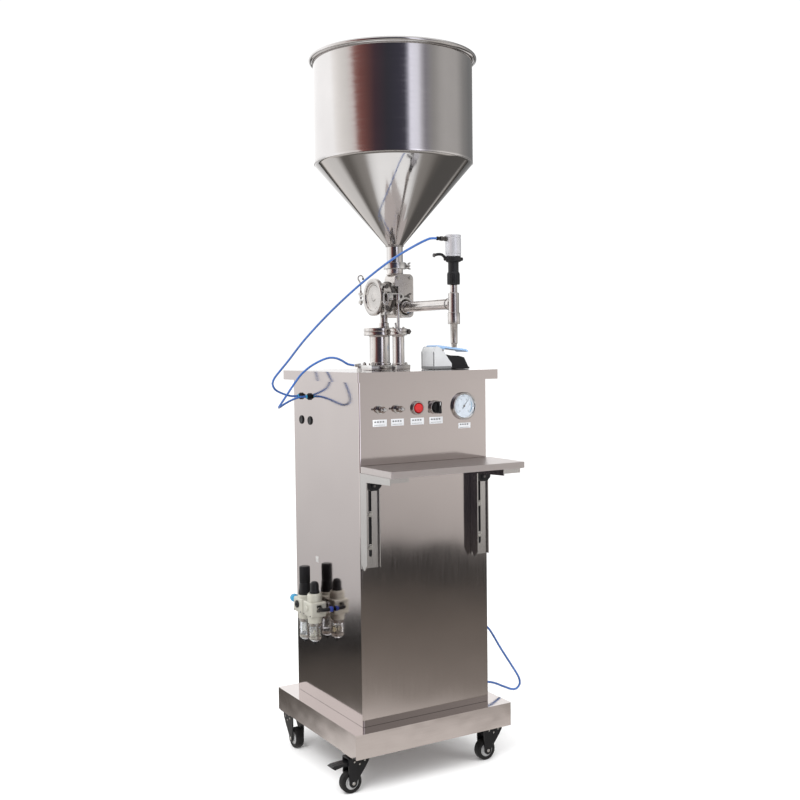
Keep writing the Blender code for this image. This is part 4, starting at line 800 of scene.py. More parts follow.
def make_actuator():
    x, y = ACTUATOR
    foot = PLATE_Z + GAP
    profile = [(0, 1.001), (0.006, 1.001), (0.0068, 1.0), (0.0178, 1.0002), (0.0196, 0.9992),
            (0.02, 0.9975), (0.02, 0.9935), (0.0188, 0.993), (0.0188, 0.9915), (0.02, 0.991),
            (0.02, 0.9862), (0.0185, 0.9838), (0.015, 0.9835), (0.0133, 0.9815), (0.0133, foot + 0.016),
            (0.0148, foot + 0.015), (0.0148, foot + 0.012), (0, foot + 0.012)]
    turned("actuator_barrel", profile, spot(x, y, 0), material="turned", replaced="valve_actuator",
            steps=72)
    block("actuator_foot", spot(x - 0.012, y - 0.012, foot), spot(x + 0.024, y + 0.012, foot + 0.012),
            "cast", bevel=0.0012, segments=3)
    bm = bmesh.new()
    bolt_into(bm, 0.007, 0.0038, facing(spot(x + 0.019, y, foot + 0.012)), 0.002)
    for sign in (-1, 1):
        bolt_into(bm, 0.0048, 0.0024, facing(spot(x + sign * 0.0135, y, 1.0003)), 0)
    piece("actuator_bolts", bm, "zinc")
    bm = bmesh.new()
    for sign in (-1, 1):
        block_into(bm, spot(x + 0.0175, y + sign * 0.004 - 0.0018, 0.9865),
                spot(x + 0.028, y + sign * 0.004 + 0.0018, 0.9985))
    soften_edges(bm, 0.001)
    hex_into(bm, 0.0078, 0.004, facing(spot(x + 0.024, y - 0.0058, 0.9925), FORWARD))
    hex_into(bm, 0.0078, 0.004, facing(spot(x + 0.024, y + 0.0058, 0.9925), BACKWARD))
    piece("actuator_clamp_bolt", bm, "dark")
    start = spot(x - 0.016, y - 0.014, 1.012)
    lever = [start, start + Vector((0.001, -0.002, -0.009)), start + Vector((0.0045, -0.0035, -0.018)),
            start + Vector((0.0105, -0.0045, -0.0245)), start + Vector((0.018, -0.0045, -0.0265))]
    curve_piece("actuator_clamp_lever", smooth_route(lever, 0.002), 0.0024, "bright")
    rod = [(0, BOSS_Z + 0.006), (0.004, BOSS_Z + 0.0058), (0.005, BOSS_Z + 0.0048), (0.005, BOSS_Z - 0.01),
            (0.004, BOSS_Z - 0.0108), (0.0036, BOSS_Z - 0.0112), (0.0036, 0.9482), (0.008, 0.948),
            (0.0083, 0.9478), (0.0083, 0.9402), (0, 0.94)]
    turned("actuator_plunger_rod", rod, spot(x, y, 0), material="bright", body="actuator_plunger",
            replaced="valve_actuator_rod", steps=40)
    turned("actuator_pin", pin(0.012, 0.0022, drop=0.0004), spot(x, y, BOSS_Z), BACKWARD, "bright",
            "actuator_plunger", steps=24)
    bm = bmesh.new()
    hex_into(bm, 0.0078, 0.0036, facing(spot(x, y, BOSS_Z - 0.016)))
    piece("actuator_lock_nut", bm, "zinc", "actuator_plunger")


# ---------------------------------------------------------------- outlet and nozzle
def make_outlet():
    start, stop = BLOCK[0][1] - 0.007 - GAP, NOZZLE_Y + 0.018
    length = start - stop
    profile = [(PIPE_R, length), (PIPE_R, 0.019), (0.014, 0.017), (0.0152, 0.012), (0.019, 0.01),
            (0.0198, 0.009), (0.0198, 0.001), (0.0186, 0), (0.0096, 0), (0.0096, length)]
    turned("outlet_tube", profile, spot(AXIS_X, start, OUTLET_Z), FORWARD, "turned", replaced="outlet_pipe",
            steps=64)
    clamp_ring("outlet_clamp", spot(AXIS_X, start - 0.0088, OUTLET_Z), FORWARD, 0.018, 0.0225, 0.006,
            material="bright")
    bm = bmesh.new()
    block_into(bm, spot(AXIS_X - 0.005, start - 0.0125, OUTLET_Z + 0.0205),
            spot(AXIS_X + 0.005, start - 0.005, OUTLET_Z + 0.0262))
    soften_edges(bm, 0.001, 2)
    spin_into(bm, mm((0, 20), (2, 20), (2, 0), (0, 0)), 14, facing(spot(AXIS_X - 0.01, start - 0.0088,
            OUTLET_Z + 0.0235), RIGHTWARD))
    wing_nut_into(bm, facing(spot(AXIS_X + 0.005, start - 0.0088, OUTLET_Z + 0.0235), RIGHTWARD), 0.009,
            0.0038)
    piece("outlet_clamp_screw", bm, "dark")
    weld = spin_into(bmesh.new(), arc((PIPE_R + 0.0002, 0), 0.0012, 0, 315, 7), 64)
    piece("outlet_weld", weld, "seam", "machine", spot(AXIS_X, stop + 0.0012, OUTLET_Z), FORWARD)


def make_nozzle():
    tip, tube, nut_low, nut, tee, neck = 0.9557, 0.963, 1.0053, 1.0293, 1.0714, 1.0884
    sleeve_low, sleeve, collar_low, collar, cylinder, top = 1.0888, 1.1136, 1.1362, 1.1479, 1.1482, 1.1939
    bore = 0.005
    at = spot(AXIS_X, NOZZLE_Y, 0)
    profile = [(0.0074, neck), (0.0078, neck - 0.0006), (0.0078, tee + 0.001), (0.0108, tee),
            (0.0114, tee - 0.0008), (0.0114, nut + 0.0006), (0.013, nut), (0.013, nut_low),
            (0.0078, nut_low - 0.0002), (0.0074, tube + 0.002), (0.006, tube), (0.0055, tip + 0.0004),
            (0.0053, tip), (bore - 0.0006, tip), (bore, tube), (bore, neck)]
    bm = spin_into(bmesh.new(), rounded(profile, 0.0004), 64)
    piece("nozzle_barrel", bm, "turned", at=at, replaced="nozzle_body")
    # knurled union nut
    bm = bmesh.new()
    count, inner, outer = 48, 0.0124, 0.013
    ring = [((outer if k % 2 else inner) * math.cos(math.tau * k / (2 * count)),
            (outer if k % 2 else inner) * math.sin(math.tau * k / (2 * count))) for k in range(2 * count)]
    sheet_into(bm, ring, nut - nut_low - 0.004, Matrix.Translation((0, 0, (nut + nut_low) / 2)))
    piece("nozzle_nut_knurl", bm, "bright", "machine", at)
    turned("nozzle_branch", mm((11.8, 11), (11.8, 0), (9.5, 0), (9.5, 11)),
            spot(AXIS_X, NOZZLE_Y + 0.0066, OUTLET_Z), BACKWARD, "turned")
    profile = [(0, collar), (0.015, collar), (0.016, collar - 0.001), (0.0165, collar_low + 0.003),
            (0.015, collar_low + 0.0008), (0.0118, collar_low), (0.0112, collar_low - 0.001),
            (0.0112, sleeve + 0.002), (0.0125, sleeve + 0.0006), (0.0133, sleeve - 0.001),
            (0.0133, sleeve_low + 0.001), (0.0124, sleeve_low), (0, sleeve_low)]
    turned("nozzle_coupling_body", profile, at, material="black", replaced="nozzle_coupling", steps=64)
    block("nozzle_coupling_ears", (-0.0215, -0.007, collar_low + 0.003), (0.0215, 0.007, collar - 0.001),
            "black", at=at, bevel=0.0026, segments=4)
    count = 16
    rib = ((0.0128, -0.0009, sleeve_low + 0.0025), (0.0137, 0.0009, sleeve - 0.0025))
    blocks("nozzle_coupling_grip", [rib] * count, "knob", 0.0004, at=at,
            turns=[Matrix.Rotation(math.tau * k / count, 4, "Z") for k in range(count)])
    radius = 0.0166
    profile = [(0, top), (0.005, top), (0.0056, top - 0.0012), (0.012, top - 0.0012), (0.0126, top),
            (radius - 0.0016, top), (radius, top - 0.0012), (radius, top - 0.006),
            (radius - 0.0007, top - 0.0066), (radius - 0.0007, top - 0.0078), (radius, top - 0.0084),
            (radius, cylinder + 0.006), (radius - 0.0007, cylinder + 0.0055),
            (radius - 0.0007, cylinder + 0.0045), (radius, cylinder + 0.004), (radius, cylinder + 0.0008),
            (radius - 0.0008, cylinder), (0, cylinder)]
    turned("nozzle_cylinder", profile, at, material="alloy", replaced="nozzle_air_cylinder", steps=72,
            soften=0.0003)
    paint("bright", "nozzle_rod")
    bm = bmesh.new()
    for k in range(4):
        angle = math.radians(45 + 90 * k)
        spin_into(bm, pin(0.0009, 0.0018, 0.0002, 0.0003, -0.001), 16,
                Matrix.Translation((0.009 * math.cos(angle), 0.009 * math.sin(angle), top - 0.0012)))
    piece("nozzle_cylinder_screws", bm, "zinc", "machine", at)
    # hose fitting: hexagon and body, then its release collar
    port = spot(AXIS_X - radius, NOZZLE_Y, 1.185)
    bm = bmesh.new()
    hex_into(bm, 0.0092, 0.005, facing(port + Vector((-0.0006, 0, 0)), LEFTWARD))
    spin_into(bm, mm((0, 16.5), (4.6, 16.5), (5, 15.8), (5, 10), (4.2, 9.5), (4.2, 5.5), (0, 5.5)), 32,
            facing(port, LEFTWARD))
    piece("nozzle_fitting_body", bm, "dark", "machine", replaced="nozzle_hose_fitting")
    turned("nozzle_fitting_collar", mm((0, 24.8), (3.6, 24.8), (4.2, 24), (4.2, 21.5), (3.6, 20.8),
            (3.6, 16), (0, 16)), port, LEFTWARD, "black", steps=32)
    # spare lower port with its elbow
    start = spot(AXIS_X, NOZZLE_Y, 0)
    points = [start + Vector(point) for point in ((-0.019, 0, 1.1415), (-0.0235, 0, 1.1475),
            (-0.03, 0, 1.1515), (-0.04, 0, 1.1515), (-0.049, 0, 1.149))]
    curve_piece("nozzle_lower_elbow", smooth_route(points, 0.0012), 0.003, "black")
    turned("nozzle_elbow_collar", pin(0.003, 0.0042, drop=0.0006), points[-1] + Vector((0.002, 0, 0.0004)),
            LEFTWARD, "dark", steps=32)


# ---------------------------------------------------------------- air preparation unit
UNIT_X, UNIT_Y = -0.1935, (0.0585, 0.0085)
UNIT_HALF = (0.0195, 0.0225)           # half the width and depth of a casting


def ribbed(name, radius, depth, low, high, count, at, body, replaced):
    """A knob with upright ribs round its side."""
    bm = bmesh.new()
    steps = count * 6
    rows = [(0, high), (0.55, high), (0.86, high - 0.0004), (0.97, high - 0.0016), (1.0, high - 0.004),
            (1.0, low + 0.004), (0.985, low + 0.0008), (0.96, low), (0, low)]
    rings = []
    for index, (share, z) in enumerate(rows):
        if share == 0.0:
            rings.append([bm.verts.new((0, 0, z))])
            continue
        ribs = depth if 3 <= index <= 6 else 0.0
        ring = []
        for k in range(steps):
            angle = math.tau * k / steps
            inset = ribs * (0.5 - 0.5 * math.cos(angle * count)) ** 2
            r = radius * share - inset
            ring.append(bm.verts.new((r * math.cos(angle), r * math.sin(angle), z)))
        rings.append(ring)
    return piece(name, skin_into(bm, rings, steps), "knob", body, at, UPWARD, replaced, 50)


def make_air_unit():
    half_x, half_y = UNIT_HALF
    for name, y, top, low in (("filter", UNIT_Y[0], 0.3922, 0.2815),
            ("lubricator", UNIT_Y[1], 0.404, 0.287)):
        at = spot(UNIT_X, y, 0)
        block(f"{name}_casting", (-half_x, -half_y, 0.352), (half_x, half_y, 0.386), "die_cast", at=at,
                replaced=f"{name}_body", bevel=0.0042, segments=4)
        bm = spin_into(bmesh.new(), rounded([(0, top), (0.015, top), (0.017, top - 0.005), (0.0172, 0.385),
                (0.0178, 0.353), (0.0172, 0.348), (0.0163, 0.346), (0.0163, 0.3374), (0.015, 0.337),
                (0, 0.337)], 0.001), 64)
        piece(f"{name}_head", bm, "die_cast", "machine", at)
        block(f"{name}_port_boss", (-0.009, -half_y, 0.361), (0.009, half_y, 0.383), "die_cast", at=at,
                bevel=0.003, segments=3)
        block(f"{name}_bracket", (half_x - 0.002, -0.01, 0.355), (-SIDE - GAP - UNIT_X, 0.01, 0.38), "zinc",
                at=at, bevel=0.0012)
        make_bowl(name, at, low)
        bm = bmesh.new()
        for sign in (-1, 1):
            matrix = facing((-half_x + 0.0002, sign * 0.0165, 0.356), LEFTWARD)
            spin_into(bm, pin(0.0012, 0.0024, 0.0006, foot=-0.001), 20, matrix)
        piece(f"{name}_casting_screws", bm, "zinc", "machine", at)
    make_unit_fittings()


def make_bowl(name, at, low):
    """A clear bowl with its drain, what it holds, and the guard round it; low is its lowest point."""
    bowl = [(0.0136, 0.3366), (0.0139, 0.336), (0.0139, 0.33), (0.0131, 0.3288), (0.0131, low + 0.0175),
            (0.012, low + 0.012), (0.0095, low + 0.0085), (0.005, low + 0.0062), (0.005, low + 0.0048),
            (0.003, low + 0.005), (0.0084, low + 0.01), (0.0108, low + 0.013), (0.0117, low + 0.018),
            (0.0117, 0.3366)]
    turned(f"{name}_clear_bowl", bowl, at, material="bowl", replaced=f"{name}_bowl", steps=64, soften=0.0)
    drain = [(0, low + 0.006), (0.0036, low + 0.006), (0.0036, low + 0.0046), (0.005, low + 0.0042),
            (0.005, low + 0.002), (0.0032, low + 0.0016), (0.003, low), (0, low)]
    turned(f"{name}_drain", drain, at, material="black", steps=40, soften=0.0003)
    if name == "filter":
        core = mm((0, 336), (8.8, 336), (8.8, 334.5), (7.6, 334), (7.6, 311), (9.2, 310), (9.2, 308),
                (0, 307.5))
        turned("filter_element", core, at, material="element", steps=40)
    else:
        core = [(0, 0.336), (0.0016, 0.336), (0.0016, low + 0.016), (0.0034, low + 0.0155),
                (0.0034, low + 0.012), (0, low + 0.0118)]
        turned("lubricator_tube", core, at, material="element", steps=32)
        oil = [(0, low + 0.033), (0.0114, low + 0.033), (0.0114, low + 0.0182), (0.0104, low + 0.0134),
                (0.008, low + 0.0104), (0, low + 0.0085)]
        turned("lubricator_oil", oil, at, material="oil", steps=48, soften=0.0)
    guard = bmesh.new()
    for k in range(3):
        turn = Matrix.Rotation(math.radians(120 * k + 30), 4, "Z")
        block_into(guard, (0.0128, -0.0022, low + 0.015), (0.0139, 0.0022, 0.333), turn)
    spin_into(guard, mm((14.8, 337.2), (15.2, 336.6), (15.2, 330.6), (14.6, 330), (14, 330), (14, 337.2)),
            48)
    spin_into(guard, [(0.0139, low + 0.019), (0.0139, low + 0.014), (0.0122, low + 0.0112),
            (0.0119, low + 0.0122), (0.0132, low + 0.0146), (0.0132, low + 0.019)], 48)
    piece(f"{name}_bowl_guard", guard, "zinc", "machine", at)


def make_unit_fittings():
    half_x, half_y = UNIT_HALF
    # plugs in the castings' faces, and the coupling between the two castings
    turned("filter_plug", mm((0, 5), (3, 5), (3.6, 3.6), (7.6, 3.4), (8.4, 2.4), (8.4, 0), (0, 0)),
            spot(UNIT_X - half_x, UNIT_Y[0], 0.3715), LEFTWARD, "black", steps=40)
    turned("lubricator_plug", mm((0, 4), (4, 4), (6.2, 3), (7, 0), (0, 0)),
            spot(UNIT_X - half_x, UNIT_Y[1], 0.3715), LEFTWARD, "die_cast", steps=40)
    middle = (UNIT_Y[0] + UNIT_Y[1]) / 2
    block("unit_coupling", spot(UNIT_X - 0.013, middle - 0.0035, 0.36),
            spot(UNIT_X + 0.013, middle + 0.0035, 0.384), "die_cast", bevel=0.001)
    # bonnet and knob of the regulator
    bonnet = mm((0, 418.2), (11.8, 418.2), (12.5, 417.4), (12.8, 415), (13.6, 405), (14.8, 399),
            (14.8, 391.8), (0, 391.8))
    turned("filter_bonnet", bonnet, spot(UNIT_X, UNIT_Y[0], 0), material="black", steps=64)
    ribbed("regulator_grip", 0.0124, 0.0009, 0.4186, 0.4576, 24, spot(UNIT_X, UNIT_Y[0], 0),
            "pressure_knob", "regulator_knob")
    dome = mm((0, 431), (4, 430.6), (7.2, 428.8), (9.4, 425), (10, 420), (10, 410), (11.2, 409),
            (11.2, 403.6), (0, 403.6))
    turned("lubricator_dome", dome, spot(UNIT_X, UNIT_Y[1], 0), material="black", steps=56)
    # push-in inlet fitting towards the back, elbow outlet towards the front
    start = spot(UNIT_X, UNIT_Y[0] + half_y, 0.372)
    turned("inlet_nut", pin(0.015, 0.0085, 0.0001, 0.001, GAP), start, BACKWARD, "zinc",
            replaced="air_inlet_fitting", steps=6, soften=0.0)
    body = mm((0, 44), (7, 43.8), (8.4, 42), (9.5, 38), (9.5, 31.2), (8.2, 29), (7, 28), (6, 27), (6, 14),
            (0, 14))
    turned("inlet_collar", body, start, BACKWARD, "blue", steps=56)
    out = spot(UNIT_X, UNIT_Y[1] - half_y, 0.372)
    turned("outlet_elbow_nut", mm((0, 6), (6.4, 6), (6.4, 0), (0, 0)), out, FORWARD, "zinc", steps=6,
            soften=0.0)
    points = [out + Vector((0, -0.005, 0)), out + Vector((0, -0.01, 0)), out + Vector((0.0012, -0.0135, 0)),
            out + Vector((0.005, -0.0155, 0)), out + Vector((0.011, -0.0158, 0)),
            out + Vector((0.027, -0.0158, 0))]
    curve_piece("outlet_elbow", smooth_route(points, 0.0015), 0.0044, "black")
    turned("outlet_elbow_collar", mm((0, 7.5), (4.6, 7.5), (6.2, 7), (6.2, 1), (5.2, 0), (0, 0)),
            out + Vector((0.018, -0.0158, 0)), RIGHTWARD, "navy", steps=40)


# ---------------------------------------------------------------- shelf, brackets and knobs
BRACKET_X, SLOT_X, KNOB_Z = (-0.165, 0.1195), 0.022, 0.664


def make_shelf_details():
    front = FACE - GAP - 0.0025
    heads = bmesh.new()
    for x in BRACKET_X:
        for z in (0.601, 0.53):
            matrix = facing(spot(x + SLOT_X, front - 0.0002, z), FORWARD)
            spin_into(heads, mm((0, 3), (3.8, 3), (4.8, 1.8), (4.8, 0.6), (6.2, 0.5), (6.2, 0), (0, 0)), 28,
                    matrix)
            spin_into(heads, mm((0, 0), (3, 0), (3, -2.8), (0, -2.8)), 16, matrix)
    piece("bracket_slot_screws", heads, "zinc")
    # black sheets on the cabinet face behind the brackets' slots: painted shade in the slot recesses
    painted_shade_sheets = [(spot(x + SLOT_X - 0.0052, FACE - 0.00035, 0.506),
            spot(x + SLOT_X + 0.0052, FACE - 0.0001, 0.66)) for x in BRACKET_X]
    blocks("bracket_slot_liners", painted_shade_sheets, "black", 0.0001, 1)
    for name, x in zip(("left", "right"), BRACKET_X):
        pivot = spot(x + SLOT_X, front, KNOB_Z)
        body = f"clamp_knob_{name}"
        hub = mm((0, 22.8), (5.2, 23), (7.4, 22), (8.4, 19.6), (9.4, 6), (10.6, 2), (11, 0.6), (0, 0.5))
        turned(f"knob_hub_{name}", hub, pivot, FORWARD, "knob", body, f"shelf_knob_{name}", 48)
        wing = arc((-0.0118, 0.0004), 0.006, 95, 235, 8) + mm((-8.5, -10.6), (8.5, -10.6))
        wing += arc((0.0118, 0.0004), 0.006, -55, 85, 8)
        plate(f"knob_wings_{name}", wing, 0.012, "knob", pivot + Vector((0, -0.0145, 0)), body=body,
                bevel=0.002)
        turned(f"knob_cap_{name}", mm((0, 0.9), (3, 0.8), (3.6, 0), (0, -1)),
                pivot + Vector((0, -0.0222, 0)), FORWARD, "dark", body, steps=28)


# ---------------------------------------------------------------- controls
PANEL_Z = 0.824
CONTROL_X = dict(speed_left=-0.114, speed_right=-0.07, button=-0.02, selector=0.0265, gauge=0.102)


def make_controls():
    for side in ("left", "right"):
        x = CONTROL_X["speed_" + side]
        at = spot(x, FACE, PANEL_Z)
        body = mm((0, 16), (5, 16), (6.6, 15.8), (7.1, 15), (7.1, 11.2), (6.4, 10.6), (6.4, 6.2), (0, 6.2))
        turned(f"speed_body_{side}", body, at, FORWARD, "bronze", replaced=f"speed_valve_{side}", steps=48)
        bm = bmesh.new()
        hex_into(bm, 0.0148, 0.0052, facing(at + Vector((0, -0.0012, 0)), FORWARD))
        spin_into(bm, mm((0, 1.4), (9.5, 1.4), (9.8, 0.4), (0, 0.4)), 32, facing(at, FORWARD))
        piece(f"speed_nut_{side}", bm, "bright")
        hub_at = spot(x, FACE - 0.0164, PANEL_Z)
        rider = f"lever_{side}"
        hub = mm((0, 7), (3, 7), (4.4, 6), (4.5, 0.4), (0, 0))
        turned(f"speed_hub_{side}", hub, hub_at, FORWARD, "bright", rider, f"speed_lever_{side}", 32)
        bar = mm((0, 9.5), (2, 9.4), (2.7, 8.5), (2.8, 7.2), (2.1, 6), (1.8, 0), (2, -4), (2.6, -5.2),
                (2, -6.6), (0, -6.8))
        turned(f"speed_bar_{side}", bar, hub_at + Vector((0, -0.0035, 0)), LEFTWARD, "bright", rider,
                steps=28)
    ring = mm((13.8, 7), (14.6, 6.4), (15, 4.8), (15, 0.6), (14.6, 0.4), (11.2, 0.4), (11.2, -3),
            (10.8, -3), (10.8, 0), (11.2, 3), (11.6, 6), (12.2, 7))
    for name in ("button", "selector"):
        turned(f"{name}_ring", ring, spot(CONTROL_X[name], FACE, PANEL_Z), FORWARD, "polished_cast",
                replaced=f"{name}_bezel", steps=72, soften=0.0003)
    cap = mm((0, 11), (5, 10.9), (8.2, 10.4), (9.8, 9.2), (10.4, 7), (10.4, 0), (0, 0))
    turned("button_dome", cap, spot(CONTROL_X["button"], FACE, PANEL_Z), FORWARD, "red", "push_button",
            "button_cap", 64)
    x = CONTROL_X["selector"]
    core = mm((0, 14.2), (7, 14), (9.4, 12.6), (10.4, 10), (10.4, 0), (0, 0))
    turned("selector_core", core, spot(x, FACE, PANEL_Z), FORWARD, "black", "selector", "selector_knob", 56)
    grip = mm((-2.2, -13), (2.2, -13), (3.8, -11.2), (2.8, 0), (3.8, 10.8), (2.4, 13.4), (-2.4, 13.4),
            (-3.8, 10.8), (-2.8, 0), (-3.8, -11.2))
    plate("selector_handle", grip, 0.013, "knob", spot(x, FACE - 0.016, PANEL_Z), body="selector",
            bevel=0.0012, limit=50)
    block("selector_mark", (-0.0006, 0.005, 0), (0.0006, 0.0118, 0.0004), "label", "selector",
            spot(x, FACE - 0.0224, PANEL_Z), FORWARD, bevel=0.0001)
    make_gauge()
    make_labels()


def make_gauge():
    x = CONTROL_X["gauge"]
    at = spot(x, FACE, PANEL_Z)
    case = mm((26.2, 6.2), (27, 6.6), (28, 7.8), (29.8, 7.6), (30.8, 6.4), (31, 4.4), (31, 0.8), (30, 0.4),
            (24, 0.4), (24, 2.4), (26.2, 3))
    turned("gauge_case_ring", case, at, FORWARD, "bright", replaced="gauge_case", steps=96, soften=0.0004)
    turned("gauge_face", mm((0, 3.4), (26.3, 3.4), (26.3, 1.8), (0, 1.8)), at, FORWARD, "dial", steps=72,
            soften=0.0)
    marks = bmesh.new()
    face = FACE - 0.0034
    for k in range(51):
        angle = math.radians(225 - 270 * k / 50)
        long = 0.003 if k % 5 == 0 else 0.0016
        wide = 0.0003 if k % 5 == 0 else 0.00016
        spin = facing(spot(x, face, PANEL_Z), FORWARD) @ Matrix.Rotation(angle, 4, "Z")
        block_into(marks, (0.0226 - long, -wide, 0), (0.0226, wide, 0.00012), spin)
    band = arc((0, 0), 0.0232, -45, 225, 60) + arc((0, 0), 0.0229, 225, -45, 60)
    sheet_into(marks, band, 0.0001, facing(spot(x, face - 0.00006, PANEL_Z), FORWARD))
    piece("gauge_ticks", marks, "ink")
    for index, number in enumerate(("0", "2", "4", "6", "8", "10")):
        angle = math.radians(225 - 54 * index)
        text = bpy.data.curves.new(f"gauge_number_{number}", "FONT")
        text.body = number
        text.size = 0.0052
        text.align_x = "CENTER"
        text.align_y = "CENTER"
        text.extrude = 0.00006
        obj = bpy.data.objects.new(f"gauge_number_{number}", text)
        obj.location = spot(x + 0.0162 * math.cos(angle), face - 0.00008,
                PANEL_Z + 0.0162 * math.sin(angle))
        obj.rotation_euler = FORWARD
        finish_piece(obj, "ink")
    band = arc((0, 0), 0.0212, -45, 30, 20) + arc((0, 0), 0.0198, 30, -45, 20)
    arc_piece = bmesh.new()
    sheet_into(arc_piece, band, 0.0001, facing(spot(x, face - 0.00006, PANEL_Z), FORWARD))
    piece("gauge_band", arc_piece, "blue")
    hub_y = FACE - 0.0038
    reading = math.radians(52)
    needle = mm((-7, -1.1), (-4, -0.7), (19, -0.28), (21.5, 0), (19, 0.28), (-4, 0.7), (-7, 1.1))
    bm = bmesh.new()
    sheet_into(bm, needle, 0.0005, Matrix.Rotation(reading, 4, "Z") @ Matrix.Translation((0, 0, 0.0006)))
    piece("gauge_pointer", bm, "ink", "needle", spot(x, hub_y, PANEL_Z), FORWARD, "gauge_needle")
    turned("gauge_pointer_hub", mm((0, 1.6), (1.6, 1.5), (2.6, 0.8), (2.6, 0), (0, 0)),
            spot(x, hub_y, PANEL_Z), FORWARD, "dark", "needle", steps=32)
    turned("gauge_glass", mm((0, 6.6), (26.3, 6.3), (26.3, 5.8), (0, 5.8)), at, FORWARD, "lens", steps=72,
            soften=0.0)


LABELS = dict(speed_left=(-0.132, -0.097, 0.7875, 0.8025), speed_right=(-0.0865, -0.054, 0.7875, 0.8025),
        button=(-0.037, -0.0026, 0.7875, 0.8025), selector=(0.0116, 0.0467, 0.7875, 0.8025),
        gauge=(0.0885, 0.1212, 0.774, 0.786))


def make_labels():
    """Blank labels with generic marks: a row of dots and dashes."""
    for name, (x0, x1, z0, z1) in LABELS.items():
        block(f"label_{name}", spot(x0, FACE - 0.0004, z0), spot(x1, FACE - 0.00005, z1), "label",
                bevel=0.0001)
        marks = bmesh.new()
        width = x1 - x0
        middle = (z0 + z1) / 2
        for row, z in enumerate((middle + 0.0026, middle - 0.0042)):
            count = 4 if row == 0 else 7
            for k in range(count):
                start = x0 + width * (0.12 + 0.76 * k / count)
                stop = start + width * 0.76 / count * 0.62
                tall = 0.003 if row == 0 else 0.001
                block_into(marks, spot(start, FACE - 0.00055, z - tall / 2),
                        spot(stop, FACE - 0.00035, z + tall / 2))
        piece(f"label_marks_{name}", marks, "ink")
    block("label_air_unit", spot(-SIDE - 0.0004, 0.043, 0.464), spot(-SIDE - 0.00005, 0.057, 0.478),
            "side_label", bevel=0.0001)


# ---------------------------------------------------------------- fittings on the walls
def make_bulkheads():
    places = {f"bulkhead_left_{end}": (spot(-SIDE, y, PORT_Z), LEFTWARD) for end, y in PORT_Y.items()}
    for end, z in LOOP_Z.items():
        places[f"bulkhead_right_{end}"] = (spot(SIDE, LOOP_Y, z), RIGHTWARD)
    for name, (at, turn) in places.items():
        bm = bmesh.new()
        hex_into(bm, 0.0138, 0.004, facing(at, turn) @ Matrix.Translation((0, 0, GAP)))
        spin_into(bm, rounded(pin(0.0072, 0.0058, 0.0006, foot=0.004), 0.0003), 40, facing(at, turn))
        piece(f"{name}_nut", bm, "black", replaced=name)
        turned(f"{name}_collar", mm((3, 10), (4, 10), (4.6, 9.2), (4.6, 8.4), (3.8, 7.8), (3.8, 6.6),
                (3, 6.6)), at, turn, "blue", steps=40, soften=0.0002)
    post = spot(-0.1, -0.046, PLATE_Z)
    bm = bmesh.new()
    hex_into(bm, 0.011, 0.0055, Matrix.Translation((0, 0, GAP)))
    spin_into(bm, rounded(pin(0.017, 0.0045, 0.0009, 0.001, 0.0055), 0.0004), 40)
    spin_into(bm, rounded(pin(0.0108, 0.004, 0.0006), 0.0004), 40, facing((0, 0, 0.0125), LEFTWARD))
    piece("plate_elbow", bm, "bright", "machine", post, replaced="plate_fitting")


# ---------------------------------------------------------------- foot valve
PEDAL_MID, PEDAL_L, PEDAL_W = (0.125, -0.055), 0.098, 0.056
SIDES = (("front", -1), ("rear", 1))


